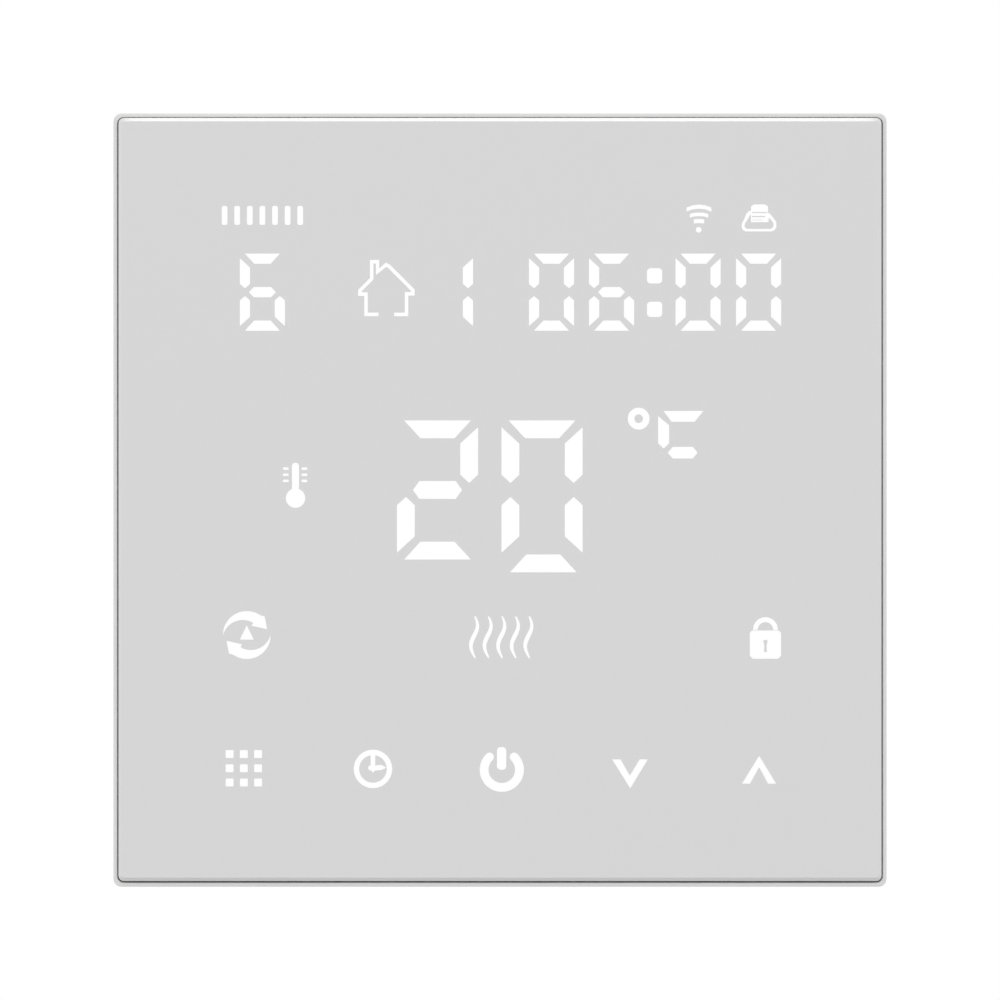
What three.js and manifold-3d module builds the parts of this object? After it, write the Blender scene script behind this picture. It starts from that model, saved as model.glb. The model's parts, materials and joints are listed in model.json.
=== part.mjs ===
// Wall thermostat, 86 mm square, with a touch panel and a segment display.
// Millimetres. X runs to the right as seen from the room, Y into the wall, Z up.
// The origin is the centre of the wall box opening, on the finished wall.
import * as THREE from "three";
import { mergeVertices } from "three/addons/utils/BufferGeometryUtils.js";
import Module from "manifold-3d";

const wasm = await Module();
wasm.setup();

// ---- Driving dimensions -------------------------------------------------
const frontSize = 86; // width and height of the front
const frontReach = 13; // touch face to the wall
const boxDepth = 28; // wall to the back of the rear box
const fixingPitch = 60; // wall box screws, centre to centre

const joint = 0.05; // gap between faces that lie on each other
const panelSize = 84.8;
const panelThickness = 1.8;
const panelCorner = 0.6;
const rimProud = 0.7; // touch face stands this far in front of the rim
const rimWidth = 0.45;
const frameCorner = 0.9;
const frameWall = 1.6;
const deckThickness = 1.5;
const wallClearance = 0.3;
const tapeThickness = 0.2;

const windowWidth = 67.6;
const windowHeight = 54.6;
const windowCentre = 7.5; // height of the display's centre above the origin
const displayFit = 0.3;

const keyPitch = 14.35;
const keyHeight = -29.8;
const keyHoleRadius = 4.2;

const boardThickness = 1.6;
const boardWidth = 80.4;
const boardHeight = 76;
const bossX = 36.5;
const bossZ = 34.5;
const sensorX = -26;

const plateThickness = 1.2;
const plateHalfWidth = 38.5;
const plateHalfHeight = 41;
const flangeReach = 5.4; // flange edge to the wall
const flangeThickness = 1;
const flangeHalf = 20;
const padSide = 6;
const padOffset = 34.5;
const slotWidth = 3.9;
const slotLength = 9;

const boxWall = 1.6;
const boxHalfWidth = 26;
const boxTop = 25;
const boxBottom = -22.4;
const ledgeDepth = 17.6; // wall to the back of the terminal ledge
const ledgeTop = -11.2;
const lidScrewX = 21.2;
const lidScrewZ = 9.5;

const terminalCount = 6;
const terminalPitch = 6.35;
const clampTravel = 2.6;

// ---- Levels, front to back ----------------------------------------------
const faceLevel = -frontReach;
const panelBack = faceLevel + panelThickness;
const tapeBack = panelBack + joint + tapeThickness;
const deckFront = tapeBack + joint;
const deckBack = deckFront + deckThickness;
const boardFront = -6.6;
const boardBack = boardFront + boardThickness;
const plateBack = -wallClearance;
const plateFront = plateBack - plateThickness;
const lidBack = plateFront - joint;
const lidFront = lidBack - 1.5;
const boxFront = plateBack + joint;
const powerFront = 1.3;
const powerBack = powerFront + boardThickness;
const partsLevel = powerBack + joint; // where parts stand on the power board
const socketZ = 8;

// ---- Solids ---------------------------------------------------------------
function solid(geometry) {
  geometry.deleteAttribute("normal");
  geometry.deleteAttribute("uv");
  const merged = mergeVertices(geometry, 1e-4);
  const mesh = new wasm.Mesh({
    numProp: 3,
    vertProperties: Float32Array.from(merged.attributes.position.array),
    triVerts: Uint32Array.from(merged.index.array),
  });
  return new wasm.Manifold(mesh);
}

function block(x0, x1, y0, y1, z0, z1) {
  const geometry = new THREE.BoxGeometry(x1 - x0, y1 - y0, z1 - z0);
  return solid(geometry.translate((x0 + x1) / 2, (y0 + y1) / 2, (z0 + z1) / 2));
}

// An outline in X and Z, carried along Y from y0 to y1.
function prism(outline, y0, y1) {
  const shape = outline instanceof THREE.Shape ? outline : new THREE.Shape(outline);
  const options = { depth: y1 - y0, bevelEnabled: false, curveSegments: 3 };
  const geometry = new THREE.ExtrudeGeometry(shape, options);
  return solid(geometry.rotateX(Math.PI / 2).translate(0, y1, 0));
}

function roundedRectangle(width, height, radius, centreX = 0, centreZ = 0) {
  const right = centreX + width / 2;
  const left = centreX - width / 2;
  const top = centreZ + height / 2;
  const bottom = centreZ - height / 2;
  const shape = new THREE.Shape();
  shape.moveTo(right, bottom + radius);
  shape.absarc(right - radius, top - radius, radius, 0, Math.PI / 2);
  shape.absarc(left + radius, top - radius, radius, Math.PI / 2, Math.PI);
  shape.absarc(left + radius, bottom + radius, radius, Math.PI, Math.PI * 1.5);
  shape.absarc(right - radius, bottom + radius, radius, Math.PI * 1.5, Math.PI * 2);
  return shape;
}

function points(pairs) {
  return pairs.map(([x, z]) => new THREE.Vector2(x, z));
}

// A round bar along Y.
function rod(radius, y0, y1, x = 0, z = 0, sides = 20) {
  const geometry = new THREE.CylinderGeometry(radius, radius, y1 - y0, sides);
  return solid(geometry.translate(x, (y0 + y1) / 2, z));
}

// A round bar along X.
function crossRod(radius, x0, x1, y, z, sides = 20) {
  const geometry = new THREE.CylinderGeometry(radius, radius, x1 - x0, sides);
  return solid(geometry.rotateZ(-Math.PI / 2).translate((x0 + x1) / 2, y, z));
}

// A profile of radius and Y, turned about a line along Y.
function turned(profile, x, z, sides = 16) {
  const geometry = new THREE.LatheGeometry(points(profile), sides);
  return solid(geometry.translate(x, 0, z));
}

// An outline in Y and Z, listed anticlockwise as seen from +X, carried along X.
function alongX(outline, x0, x1) {
  const options = { depth: x1 - x0, bevelEnabled: false };
  const geometry = new THREE.ExtrudeGeometry(new THREE.Shape(points(outline)), options);
  const axes = new THREE.Matrix4().makeBasis(
    new THREE.Vector3(0, 1, 0),
    new THREE.Vector3(0, 0, 1),
    new THREE.Vector3(1, 0, 0),
  );
  return solid(geometry.applyMatrix4(axes).translate(x0, 0, 0));
}

function joined(solids) {
  return solids.reduce((whole, next) => whole.add(next));
}

function cut(body, tools) {
  return tools.reduce((rest, tool) => rest.subtract(tool), body);
}

// ---- The assembly -----------------------------------------------------------
const thermostat = new THREE.Group();
const frontUnit = new THREE.Group();
const rearUnit = new THREE.Group();
thermostat.add(frontUnit, rearUnit);

const finishes = {
  paintedGlass: [0xd7d7d7, 0.12, 0],
  whitePlastic: [0xe6e6e4, 0.38, 0],
  blackFoam: [0x26272a, 0.9, 0],
  milkyFilm: [0xf4f5f6, 0.55, 0],
  reflectorPlastic: [0xf0efeb, 0.45, 0],
  boardGreen: [0x1f5a3a, 0.42, 0],
  boardBlue: [0x16314f, 0.42, 0],
  zincSteel: [0xb9bdc1, 0.34, 0.9],
  springSteel: [0xa9adb2, 0.28, 1],
  tinnedSteel: [0xc7c9cb, 0.3, 0.9],
  chipEpoxy: [0x1b1c1e, 0.5, 0],
  blackPlastic: [0x222326, 0.45, 0],
  greyPlastic: [0xd9d9d6, 0.42, 0],
  relayBlue: [0x2a5fb0, 0.35, 0],
  copperWire: [0xa8582a, 0.35, 0.7],
  softIron: [0x8f9499, 0.4, 0.95],
  ferrite: [0x3a3b3d, 0.6, 0.1],
  windingTape: [0xd8b43a, 0.4, 0],
  capacitorSleeve: [0x24262c, 0.3, 0],
  varistorBlue: [0x2450a0, 0.4, 0],
  ceramic: [0xe5dfcf, 0.5, 0],
  terminalGreen: [0x2f8f57, 0.42, 0],
  nickelBrass: [0xc9bd8d, 0.3, 0.9],
};

function addPiece(group, name, body, finish) {
  const { numProp, vertProperties, triVerts } = body.getMesh();
  const geometry = new THREE.BufferGeometry();
  geometry.setAttribute("position", new THREE.BufferAttribute(vertProperties, numProp));
  geometry.setIndex(new THREE.BufferAttribute(triVerts, 1));
  geometry.computeVertexNormals();
  const [color, roughness, metalness] = finishes[finish];
  const material = new THREE.MeshStandardMaterial({ color, roughness, metalness });
  const mesh = new THREE.Mesh(geometry, material);
  mesh.name = name;
  group.add(mesh);
}

// ---- Fasteners ----------------------------------------------------------------
// A pan head screw along Y, its head towards the room, driven by a cross.
function panScrew({ headRadius, headHeight, shankRadius, length, under, x, z }) {
  const top = under - headHeight;
  const profile = [
    [0, top],
    [headRadius * 0.55, top],
    [headRadius * 0.9, top + headHeight * 0.35],
    [headRadius, under],
    [shankRadius, under],
    [shankRadius, under + length - shankRadius],
    [0, under + length],
  ];
  const arm = headRadius * 0.5;
  const wing = headRadius * 0.11;
  const floor = top + headHeight * 0.55;
  const recess = [
    block(x - arm, x + arm, top - 1, floor, z - wing, z + wing),
    block(x - wing, x + wing, top - 1, floor, z - arm, z + arm),
  ];
  return cut(turned(profile, x, z), recess);
}

// ---- Touch panel and tape ---------------------------------------------------------
function touchPanel() {
  const edge = 0.3;
  const outline = roundedRectangle(panelSize - 2 * edge, panelSize - 2 * edge, panelCorner - edge);
  const options = {
    depth: panelThickness - 2 * edge,
    bevelEnabled: true,
    bevelThickness: edge,
    bevelSize: edge,
    bevelSegments: 3,
    curveSegments: 3,
  };
  const geometry = new THREE.ExtrudeGeometry(outline, options);
  return solid(geometry.rotateX(Math.PI / 2).translate(0, panelBack - edge, 0));
}

function panelTape() {
  const ring = prism(roundedRectangle(84, 84, 0.5), panelBack + joint, tapeBack);
  const opening = prism(roundedRectangle(79, 79, 0.5), panelBack - 1, tapeBack + 1);
  return ring.subtract(opening);
}

// ---- Front frame --------------------------------------------------------------------
const keyColumns = [-2, -1, 0, 1, 2].map((step) => step * keyPitch);
const bossPlaces = [
  [-bossX, bossZ],
  [bossX, bossZ],
  [-bossX, -bossZ],
  [bossX, -bossZ],
];

function frontFrame() {
  const rimLevel = faceLevel + rimProud;
  const pocket = frontSize - 2 * rimWidth;
  const hollow = frontSize - 2 * frameWall;
  const shell = prism(roundedRectangle(frontSize, frontSize, frameCorner), rimLevel, plateBack);
  const openings = [
    prism(roundedRectangle(pocket, pocket, 0.7), rimLevel - 1, deckFront),
    prism(roundedRectangle(hollow, hollow, 0.6), deckBack, 1),
    prism(roundedRectangle(windowWidth, windowHeight, 1, 0, windowCentre), deckFront - 1, deckBack + 1),
  ];
  for (const x of keyColumns) {
    openings.push(rod(keyHoleRadius, deckFront - 1, deckBack + 1, x, keyHeight, 24));
  }
  const ventCount = 9;
  const ventPitch = 4;
  for (let i = 0; i < ventCount; i += 1) {
    const x = (i - (ventCount - 1) / 2) * ventPitch;
    openings.push(block(x - 0.6, x + 0.6, -8.4, -4.2, 40, 44));
    openings.push(block(x - 0.6, x + 0.6, -8.4, -4.2, -44, -40));
  }
  const pryNotch = block(-5, 5, -2.4, 1, -44, -40);
  const bosses = bossPlaces.map(([x, z]) => rod(2.5, deckBack - 0.1, boardFront - joint, x, z, 16));
  const pilots = bossPlaces.map(([x, z]) => rod(0.95, deckBack - 1, boardFront + 1, x, z, 12));
  return cut(joined([cut(shell, [...openings, pryNotch]), ...bosses]), pilots);
}

// A flexible claw that catches in the window of the plate's flange. side is 1 at the top.
function snapClaw(side) {
  const root = deckBack + joint;
  const outline = [
    [root, side * 38.5],
    [root, side * 39.5],
    [-4, side * 39.5],
    [-3.6, side * 40.7],
    [-3.2, side * 40.7],
    [-1.9, side * 39.5],
    [-1.9, side * 38.5],
  ];
  return alongX(side > 0 ? outline.reverse() : outline, -7, 7);
}

// ---- Display --------------------------------------------------------------------------
const smallDigit = { width: 5, height: 8.55, stroke: 1.15 };
const largeDigit = { width: 9.1, height: 16.2, stroke: 2.05 };
const smallRow = 23.1;
const largeRow = 0.1;
const smallColumns = [-26.4, -5.6, 5.7, 12.4, 22, 28.8];
const largeColumns = [-6.9, 4.7];

// One bar of a seven segment digit, pointed at both ends.
function segmentWell(x, z, length, stroke, upright) {
  const half = length / 2;
  const wide = stroke / 2;
  const across = [
    [-half, 0],
    [-half + wide, -wide],
    [half - wide, -wide],
    [half, 0],
    [half - wide, wide],
    [-half + wide, wide],
  ];
  const outline = across.map(([u, v]) => (upright ? [x - v, z + u] : [x + u, z + v]));
  return prism(points(outline), deckFront - 1, boardFront + 1);
}

function digitWells(x, z, { width, height, stroke }) {
  const gap = 0.25;
  const column = (width - stroke) / 2;
  const row = (height - stroke) / 2;
  const across = width - stroke - gap;
  const along = row - gap;
  const wells = [-1, 0, 1].map((level) => segmentWell(x, z + level * row, across, stroke, false));
  for (const side of [-1, 1]) {
    for (const half of [-1, 1]) {
      wells.push(segmentWell(x + side * column, z + (half * row) / 2, along, stroke, true));
    }
  }
  return wells;
}

// Wells behind the symbols: centre, then width and height.
const symbolWells = [
  [-26.4, 31.6, 9, 2.8],
  [22, 31.6, 3, 3.2],
  [28.8, 31.6, 4, 3.2],
  [-12.6, 23.5, 6.6, 6.8],
  [17.2, 24.9, 1.8, 1.8],
  [17.2, 21.1, 1.8, 1.8],
  [-22.8, 1.6, 3.4, 5.4],
  [-28.1, -15, 5.6, 5.6],
  [0.1, -15.2, 7.4, 5],
  [29.5, -15.2, 3.8, 5],
  [15.4, 9, 2.8, 2.8],
  [20.6, 6.9, 5.4, 6],
];

function displayShell() {
  const body = block(
    -(windowWidth / 2 - displayFit),
    windowWidth / 2 - displayFit,
    deckFront,
    boardFront - joint,
    windowCentre - windowHeight / 2 + displayFit,
    windowCentre + windowHeight / 2 - displayFit,
  );
  const wells = symbolWells.map(([x, z, width, height]) =>
    block(x - width / 2, x + width / 2, deckFront - 1, boardFront + 1, z - height / 2, z + height / 2),
  );
  smallColumns.forEach((x) => wells.push(...digitWells(x, smallRow, smallDigit)));
  largeColumns.forEach((x) => wells.push(...digitWells(x, largeRow, largeDigit)));
  return cut(body, wells);
}

function displayFilm() {
  return prism(roundedRectangle(66.4, 53.4, 0.8, 0, windowCentre), panelBack + joint, tapeBack);
}

// ---- Control board and what stands on it ------------------------------------------------
function controlBoard() {
  const board = prism(roundedRectangle(boardWidth, boardHeight, 1.5), boardFront, boardBack);
  const holes = bossPlaces.map(([x, z]) => rod(1.25, boardFront - 1, boardBack + 1, x, z, 12));
  const sensorSlots = [-3, 3].map((offset) => {
    const x = sensorX + offset;
    return block(x - 0.5, x + 0.5, boardFront - 1, boardBack + 1, -39, -32);
  });
  return cut(board, [...holes, ...sensorSlots]);
}

// The board screws face the wall, so they are turned about and moved into place.
function boardScrew([x, z]) {
  const screw = panScrew({
    headRadius: 1.9,
    headHeight: 1.2,
    shankRadius: 0.8,
    length: 4.2,
    under: 0,
    x: 0,
    z: 0,
  });
  return screw.rotate([180, 0, 0]).translate([x, boardBack + joint, z]);
}

// A touch key's contact spring, wound from the board up to the back of the panel.
class SpringLine extends THREE.Curve {
  constructor(radius, turns, rise) {
    super();
    this.radius = radius;
    this.turns = turns;
    this.rise = rise;
  }

  getPoint(t, target = new THREE.Vector3()) {
    const angle = t * this.turns * Math.PI * 2;
    const level = this.rise * (0.5 - Math.cos(Math.PI * t) / 2);
    return target.set(this.radius * Math.cos(angle), -level, this.radius * Math.sin(angle));
  }
}

function touchSpring(x) {
  const wire = 0.25;
  const turns = 3.5;
  const rise = boardFront - panelBack - 2 * (wire + joint);
  const section = new THREE.Shape(points([0, 1, 2, 3, 4].map((i) => {
    const angle = (i * Math.PI * 2) / 5;
    return [wire * Math.cos(angle), wire * Math.sin(angle)];
  })));
  const options = {
    extrudePath: new SpringLine(3.2, turns, rise),
    steps: turns * 10,
    bevelEnabled: false,
  };
  const geometry = new THREE.ExtrudeGeometry(section, options);
  return solid(geometry.translate(x, boardFront - wire - joint, keyHeight));
}

function headerSocket() {
  const body = block(-8.6, 8.6, boardBack + joint, -0.65, socketZ - 2.2, socketZ + 2.2);
  return body.subtract(block(-7.6, 7.6, -4.2, 1, socketZ - 0.45, socketZ + 0.45));
}

function roomSensor() {
  const level = boardBack + 1;
  const bead = solid(new THREE.SphereGeometry(1.2, 12, 8).translate(sensorX, level, -39.6));
  const wires = [-0.9, 0.9].flatMap((offset) => {
    const x = sensorX + offset;
    return [
      block(x - 0.2, x + 0.2, level - 0.2, level + 0.2, -39.2, -35),
      block(x - 0.2, x + 0.2, boardBack + joint, level, -35.4, -35),
    ];
  });
  return joined([bead, ...wires]);
}

// ---- Mounting plate and rear box -------------------------------------------------------------
function mountingPlate() {
  const height = 2 * plateHalfHeight;
  const sheet = prism(roundedRectangle(2 * plateHalfWidth, height, 3), plateFront, plateBack);
  const flanges = [-1, 1].map((side) => {
    const inner = side * (plateHalfHeight - flangeThickness);
    const outer = side * plateHalfHeight;
    return block(-flangeHalf, flangeHalf, -flangeReach, plateBack, Math.min(inner, outer), Math.max(inner, outer));
  });
  const pads = [-1, 1].flatMap((sideX) => [-1, 1].map((sideZ) => {
    const x = sideX * padOffset;
    const z = sideZ * padOffset;
    const half = padSide / 2;
    return block(x - half, x + half, plateFront + 0.3, 0, z - half, z + half);
  }));
  const round = slotWidth / 2 - 0.01;
  const opening = [
    [-17, -12],
    [17, -12],
    [17, 10],
    [12, 16],
    [-12, 16],
    [-17, 10],
  ];
  const openings = [prism(points(opening), -9, 9)];
  for (const side of [-1, 1]) {
    const reach = (side * fixingPitch) / 2;
    openings.push(prism(roundedRectangle(slotWidth, slotLength, round, reach, 0), -9, 9));
    openings.push(prism(roundedRectangle(slotLength, slotWidth, round, 0, reach), -9, 9));
    openings.push(block(-7.6, 7.6, -4.2, -1.7, side > 0 ? 39 : -42, side > 0 ? 42 : -39));
    openings.push(rod(1.4, -9, 9, side * lidScrewX, lidScrewZ, 12));
  }
  return cut(joined([sheet, ...flanges, ...pads]), openings);
}

// The box's outline in its own plane; inset moves every side in by that much.
function boxOutline(inset, lowEdge) {
  const side = boxHalfWidth - inset;
  const top = boxTop - inset;
  const corner = 11.5 - inset * 0.59;
  const upper = [
    [side, top - corner],
    [side - corner, top],
    [-side + corner, top],
    [-side, top - corner],
  ];
  if (lowEdge !== undefined) {
    return points([...upper, [-side, lowEdge], [side, lowEdge]]);
  }
  const bottom = boxBottom + inset;
  const toe = 6.4 - inset * 0.54;
  const rise = 7.9 - inset * 0.46;
  const lower = [
    [-side, bottom + rise],
    [-side + toe, bottom],
    [side - toe, bottom],
    [side, bottom + rise],
  ];
  return points([...upper, ...lower]);
}

const terminalHalf = (terminalCount * terminalPitch) / 2;

function rearBox() {
  const shelf = prism(boxOutline(0), boxFront, ledgeDepth);
  const deep = prism(boxOutline(0, ledgeTop), boxFront, boxDepth);
  const inside = [
    prism(boxOutline(boxWall), -1, ledgeDepth - boxWall),
    prism(boxOutline(boxWall, ledgeTop + boxWall), -1, boxDepth - boxWall),
  ];
  const cheek = terminalHalf + 0.2;
  const bay = block(-cheek, cheek, powerBack + joint, boxDepth + 1, boxBottom - 1, ledgeTop - 0.05);
  const lining = block(
    -cheek - 1.2,
    cheek + 1.2,
    powerBack + joint,
    ledgeDepth,
    boxBottom,
    ledgeTop + 1.2,
  );
  const bosses = [-1, 1].map((side) => {
    const inner = side * (lidScrewX + 1.6);
    const outer = side * (boxHalfWidth - boxWall / 2);
    const xs = [Math.min(inner, outer), Math.max(inner, outer)];
    const web = block(...xs, boxFront, 9, lidScrewZ - 1, lidScrewZ + 1);
    return rod(2.6, boxFront, 9, side * lidScrewX, lidScrewZ, 16).add(web);
  });
  const pilots = [-1, 1].map((side) => rod(1.1, -1, 7.8, side * lidScrewX, lidScrewZ, 12));
  const vents = [0, 1, 2, 3, 4, 5].map((i) => {
    const x = (i - 2.5) * 4;
    return block(x - 0.7, x + 0.7, boxDepth - 3, boxDepth + 1, 8, 18);
  });
  const hollow = cut(joined([shelf, deep]), inside);
  const fitted = joined([hollow, lining.intersect(joined([shelf, deep])), ...bosses]);
  return cut(fitted, [bay, ...pilots, ...vents]);
}

function boxLid() {
  const outline = points([
    [24.2, -17],
    [24.2, 13],
    [19, 18.4],
    [-19, 18.4],
    [-24.2, 13],
    [-24.2, -17],
  ].reverse());
  const cover = prism(outline, lidFront, lidBack);
  const socketOpening = block(-9.4, 9.4, -9, 9, socketZ - 3, socketZ + 3);
  const holes = [-1, 1].map((side) => rod(1.3, -9, 9, side * lidScrewX, lidScrewZ, 12));
  return cut(cover, [socketOpening, ...holes]);
}

function lidScrew(side) {
  return panScrew({
    headRadius: 2.3,
    headHeight: 1.3,
    shankRadius: 0.95,
    length: 9.5,
    under: lidFront - joint,
    x: side * lidScrewX,
    z: lidScrewZ,
  });
}

function wallScrew(side) {
  return panScrew({
    headRadius: 3.4,
    headHeight: 2.1,
    shankRadius: 1.7,
    length: 25,
    under: plateFront - joint,
    x: (side * fixingPitch) / 2,
    z: 0,
  });
}

// ---- Power board and its parts ------------------------------------------------------------------
function powerBoard() {
  const board = prism(boxOutline(boxWall + 0.4), powerFront, powerBack);
  const notches = [-1, 1].map((side) => rod(3, 0, 4, side * lidScrewX, lidScrewZ, 16));
  const sides = [-1, 1].map((side) => {
    const near = side * lidScrewX;
    const far = side * 30;
    return block(Math.min(near, far), Math.max(near, far), 0, 4, lidScrewZ - 3, lidScrewZ + 3);
  });
  return cut(board, [...notches, ...sides]);
}

function pinHeader() {
  const body = block(-8.4, 8.4, -0.55, powerFront - joint, socketZ - 2, socketZ + 2);
  const pins = [-7, -5, -3, -1, 1, 3, 5, 7].map((x) =>
    block(x - 0.25, x + 0.25, -3.9, 0, socketZ - 0.25, socketZ + 0.25),
  );
  return joined([body, ...pins]);
}

const relayLeft = -22.5;
const relayRight = 6.5;
const relayLow = -8.6;
const relayHigh = 4.1;
const relayTop = 18.9;
const coilX = -15.5;
const relayMiddle = (relayLow + relayHigh) / 2;

function relayCase() {
  const wall = 0.8;
  const outer = block(relayLeft, relayRight, 3.2, relayTop, relayLow, relayHigh);
  const inner = block(
    relayLeft + wall,
    relayRight - wall,
    2,
    relayTop - wall,
    relayLow + wall,
    relayHigh - wall,
  );
  return outer.subtract(inner);
}

function relayBase() {
  const floor = block(-21.6, 5.6, partsLevel, 4.6, -7.7, 3.2);
  const tower = block(-1, 3.6, 4, 12.2, -5.5, 1);
  return floor.add(tower);
}

function relayYoke() {
  const foot = block(-21.4, -11, 4.65, 5.7, -6, 1.5);
  const leg = block(-21.4, -20.4, 4.65, 15.7, -6, 1.5);
  const core = rod(1.6, 5, 15.2, coilX, relayMiddle, 16);
  return joined([foot, leg, core]);
}

function relayCoil() {
  const profile = [
    [1.75, 5.8],
    [4.4, 5.8],
    [4.4, 6.6],
    [3.9, 6.6],
    [3.9, 14],
    [4.4, 14],
    [4.4, 14.8],
    [1.75, 14.8],
    [1.75, 5.8],
  ];
  return turned(profile, coilX, relayMiddle, 20);
}

function relayArmature() {
  const plate = block(-21.3, -11.5, 15.95, 16.75, -5.5, 1);
  const arm = block(-12, 2.2, 16.15, 16.55, relayMiddle - 1.2, relayMiddle + 1.2);
  const contact = rod(1, 15.5, 16.4, 1.2, relayMiddle, 12);
  return joined([plate, arm, contact]);
}

function transformerCore() {
  const body = block(10, 22.6, 3.4, 14.6, -5, 1);
  const windows = [block(12, 14.5, 5.4, 12.6, -9, 9), block(18.1, 20.6, 5.4, 12.6, -9, 9)];
  return cut(body, windows);
}

function transformerWinding() {
  const coil = prism(roundedRectangle(8, 11.2, 2, 16.3, -2), 5.6, 12.4);
  return coil.subtract(block(14.3, 18.3, 5, 13, -5.2, 1.2));
}

function standingCan(radius, height, x, z) {
  const top = partsLevel + height;
  const groove = partsLevel + 1.6;
  const profile = [
    [0, partsLevel],
    [radius * 0.92, partsLevel],
    [radius, partsLevel + 0.6],
    [radius, groove],
    [radius * 0.93, groove + 0.35],
    [radius, groove + 0.7],
    [radius, top - 0.5],
    [radius * 0.92, top],
    [0, top],
  ];
  return turned(profile, x, z, 20);
}

function varistor() {
  const disc = crossRod(5, 1.7, 5.3, 9.6, 14, 24);
  const legs = [-2.5, 2.5].map((offset) =>
    block(3.1, 3.9, partsLevel, 7, 14 + offset - 0.4, 14 + offset + 0.4),
  );
  return joined([disc, ...legs]);
}

function fuse() {
  const tube = crossRod(1.9, 8.2, 17.2, 5.3, 15.2, 16);
  const caps = [crossRod(2.2, 8, 10, 5.3, 15.2, 16), crossRod(2.2, 15.4, 17.4, 5.3, 15.2, 16)];
  return joined([tube, ...caps]);
}

// ---- Terminals --------------------------------------------------------------------------------------
const terminalColumns = [];
for (let i = 0; i < terminalCount; i += 1) {
  terminalColumns.push((i - (terminalCount - 1) / 2) * terminalPitch);
}
const terminalAxisZ = -17.3;

function terminalBlock() {
  const front = powerBack + 0.1;
  const body = block(-terminalHalf, terminalHalf, front, ledgeDepth, boxBottom, ledgeTop - 0.15);
  const openings = terminalColumns.flatMap((x) => [
    block(x - 2.35, x + 2.35, 4.6, 14.1, -20.4, -14.2),
    rod(1.7, 13, 16, x, terminalAxisZ, 12),
    rod(2.4, 14.6, 19, x, terminalAxisZ, 20),
    block(x - 1.8, x + 1.8, 5.4, 9, -24, -20),
  ]);
  return cut(body, openings);
}

// The screw's head faces away from the wall box opening, with one driver slot.
function terminalScrew(x) {
  const profile = [
    [0, 9.85],
    [1.1, 9.85],
    [1.4, 10.2],
    [1.4, 14.65],
    [2.15, 14.65],
    [2.15, 16.1],
    [1.95, 16.4],
    [0, 16.4],
  ];
  const slot = block(x - 0.35, x + 0.35, 15.5, 18, terminalAxisZ - 3, terminalAxisZ + 3);
  return turned(profile, x, terminalAxisZ, 16).subtract(slot);
}

// The cage hangs open at rest, its roof threaded on the screw.
function clampCage(x) {
  const low = 4.9;
  const high = low + 6.4;
  const body = block(x - 2.2, x + 2.2, low, high, -20.2, -14.4);
  const mouth = block(x - 1.6, x + 1.6, low + 0.7, high - 1.4, -22, -12);
  return cut(body, [mouth, rod(1.5, 8, 13, x, terminalAxisZ, 12)]);
}

// ---- Front unit -------------------------------------------------------------------------------------
addPiece(frontUnit, "touch_panel", touchPanel(), "paintedGlass");
addPiece(frontUnit, "panel_tape", panelTape(), "blackFoam");
addPiece(frontUnit, "front_frame", frontFrame(), "whitePlastic");
addPiece(frontUnit, "snap_claw_top", snapClaw(1), "whitePlastic");
addPiece(frontUnit, "snap_claw_bottom", snapClaw(-1), "whitePlastic");
addPiece(frontUnit, "display_film", displayFilm(), "milkyFilm");
addPiece(frontUnit, "display_shell", displayShell(), "reflectorPlastic");
addPiece(frontUnit, "control_board", controlBoard(), "boardGreen");
bossPlaces.forEach((place, i) => {
  addPiece(frontUnit, `board_screw_${i + 1}`, boardScrew(place), "tinnedSteel");
});
["menu", "clock", "power", "down", "up"].forEach((key, i) => {
  addPiece(frontUnit, `touch_spring_${key}`, touchSpring(keyColumns[i]), "springSteel");
});
const onBoard = boardBack + joint;
const wifiBoard = block(22, 38, onBoard, onBoard + 0.8, 18.5, 32);
const wifiShield = block(22.8, 34, onBoard + 0.85, onBoard + 2.7, 19.5, 31);
addPiece(frontUnit, "wifi_board", wifiBoard, "boardBlue");
addPiece(frontUnit, "wifi_shield", wifiShield, "tinnedSteel");
addPiece(frontUnit, "main_chip", block(-17, -7, onBoard, onBoard + 1.4, -33, -23), "chipEpoxy");
addPiece(frontUnit, "touch_chip", block(6, 16, onBoard, onBoard + 1.5, -32, -28), "chipEpoxy");
addPiece(frontUnit, "buzzer", block(-34.5, -26, onBoard, onBoard + 2.6, -30, -21.5), "blackPlastic");
addPiece(frontUnit, "backup_cell", rod(6.25, onBoard, onBoard + 2.2, 30, -26, 28), "tinnedSteel");
addPiece(frontUnit, "room_sensor", roomSensor(), "chipEpoxy");
addPiece(frontUnit, "header_socket", headerSocket(), "blackPlastic");

// ---- Rear unit ----------------------------------------------------------------------------------------
addPiece(rearUnit, "mounting_plate", mountingPlate(), "zincSteel");
addPiece(rearUnit, "rear_box", rearBox(), "greyPlastic");
addPiece(rearUnit, "box_lid", boxLid(), "greyPlastic");
addPiece(rearUnit, "power_board", powerBoard(), "boardGreen");
addPiece(rearUnit, "pin_header", pinHeader(), "blackPlastic");
for (const [side, word] of [[-1, "left"], [1, "right"]]) {
  addPiece(rearUnit, `lid_screw_${word}`, lidScrew(side), "tinnedSteel");
  addPiece(rearUnit, `wall_screw_${word}`, wallScrew(side), "tinnedSteel");
}
addPiece(rearUnit, "relay_case", relayCase(), "relayBlue");
addPiece(rearUnit, "relay_base", relayBase(), "blackPlastic");
addPiece(rearUnit, "relay_yoke", relayYoke(), "softIron");
addPiece(rearUnit, "relay_coil", relayCoil(), "copperWire");
addPiece(rearUnit, "relay_armature", relayArmature(), "softIron");
addPiece(rearUnit, "transformer_core", transformerCore(), "ferrite");
addPiece(rearUnit, "transformer_winding", transformerWinding(), "windingTape");
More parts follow.
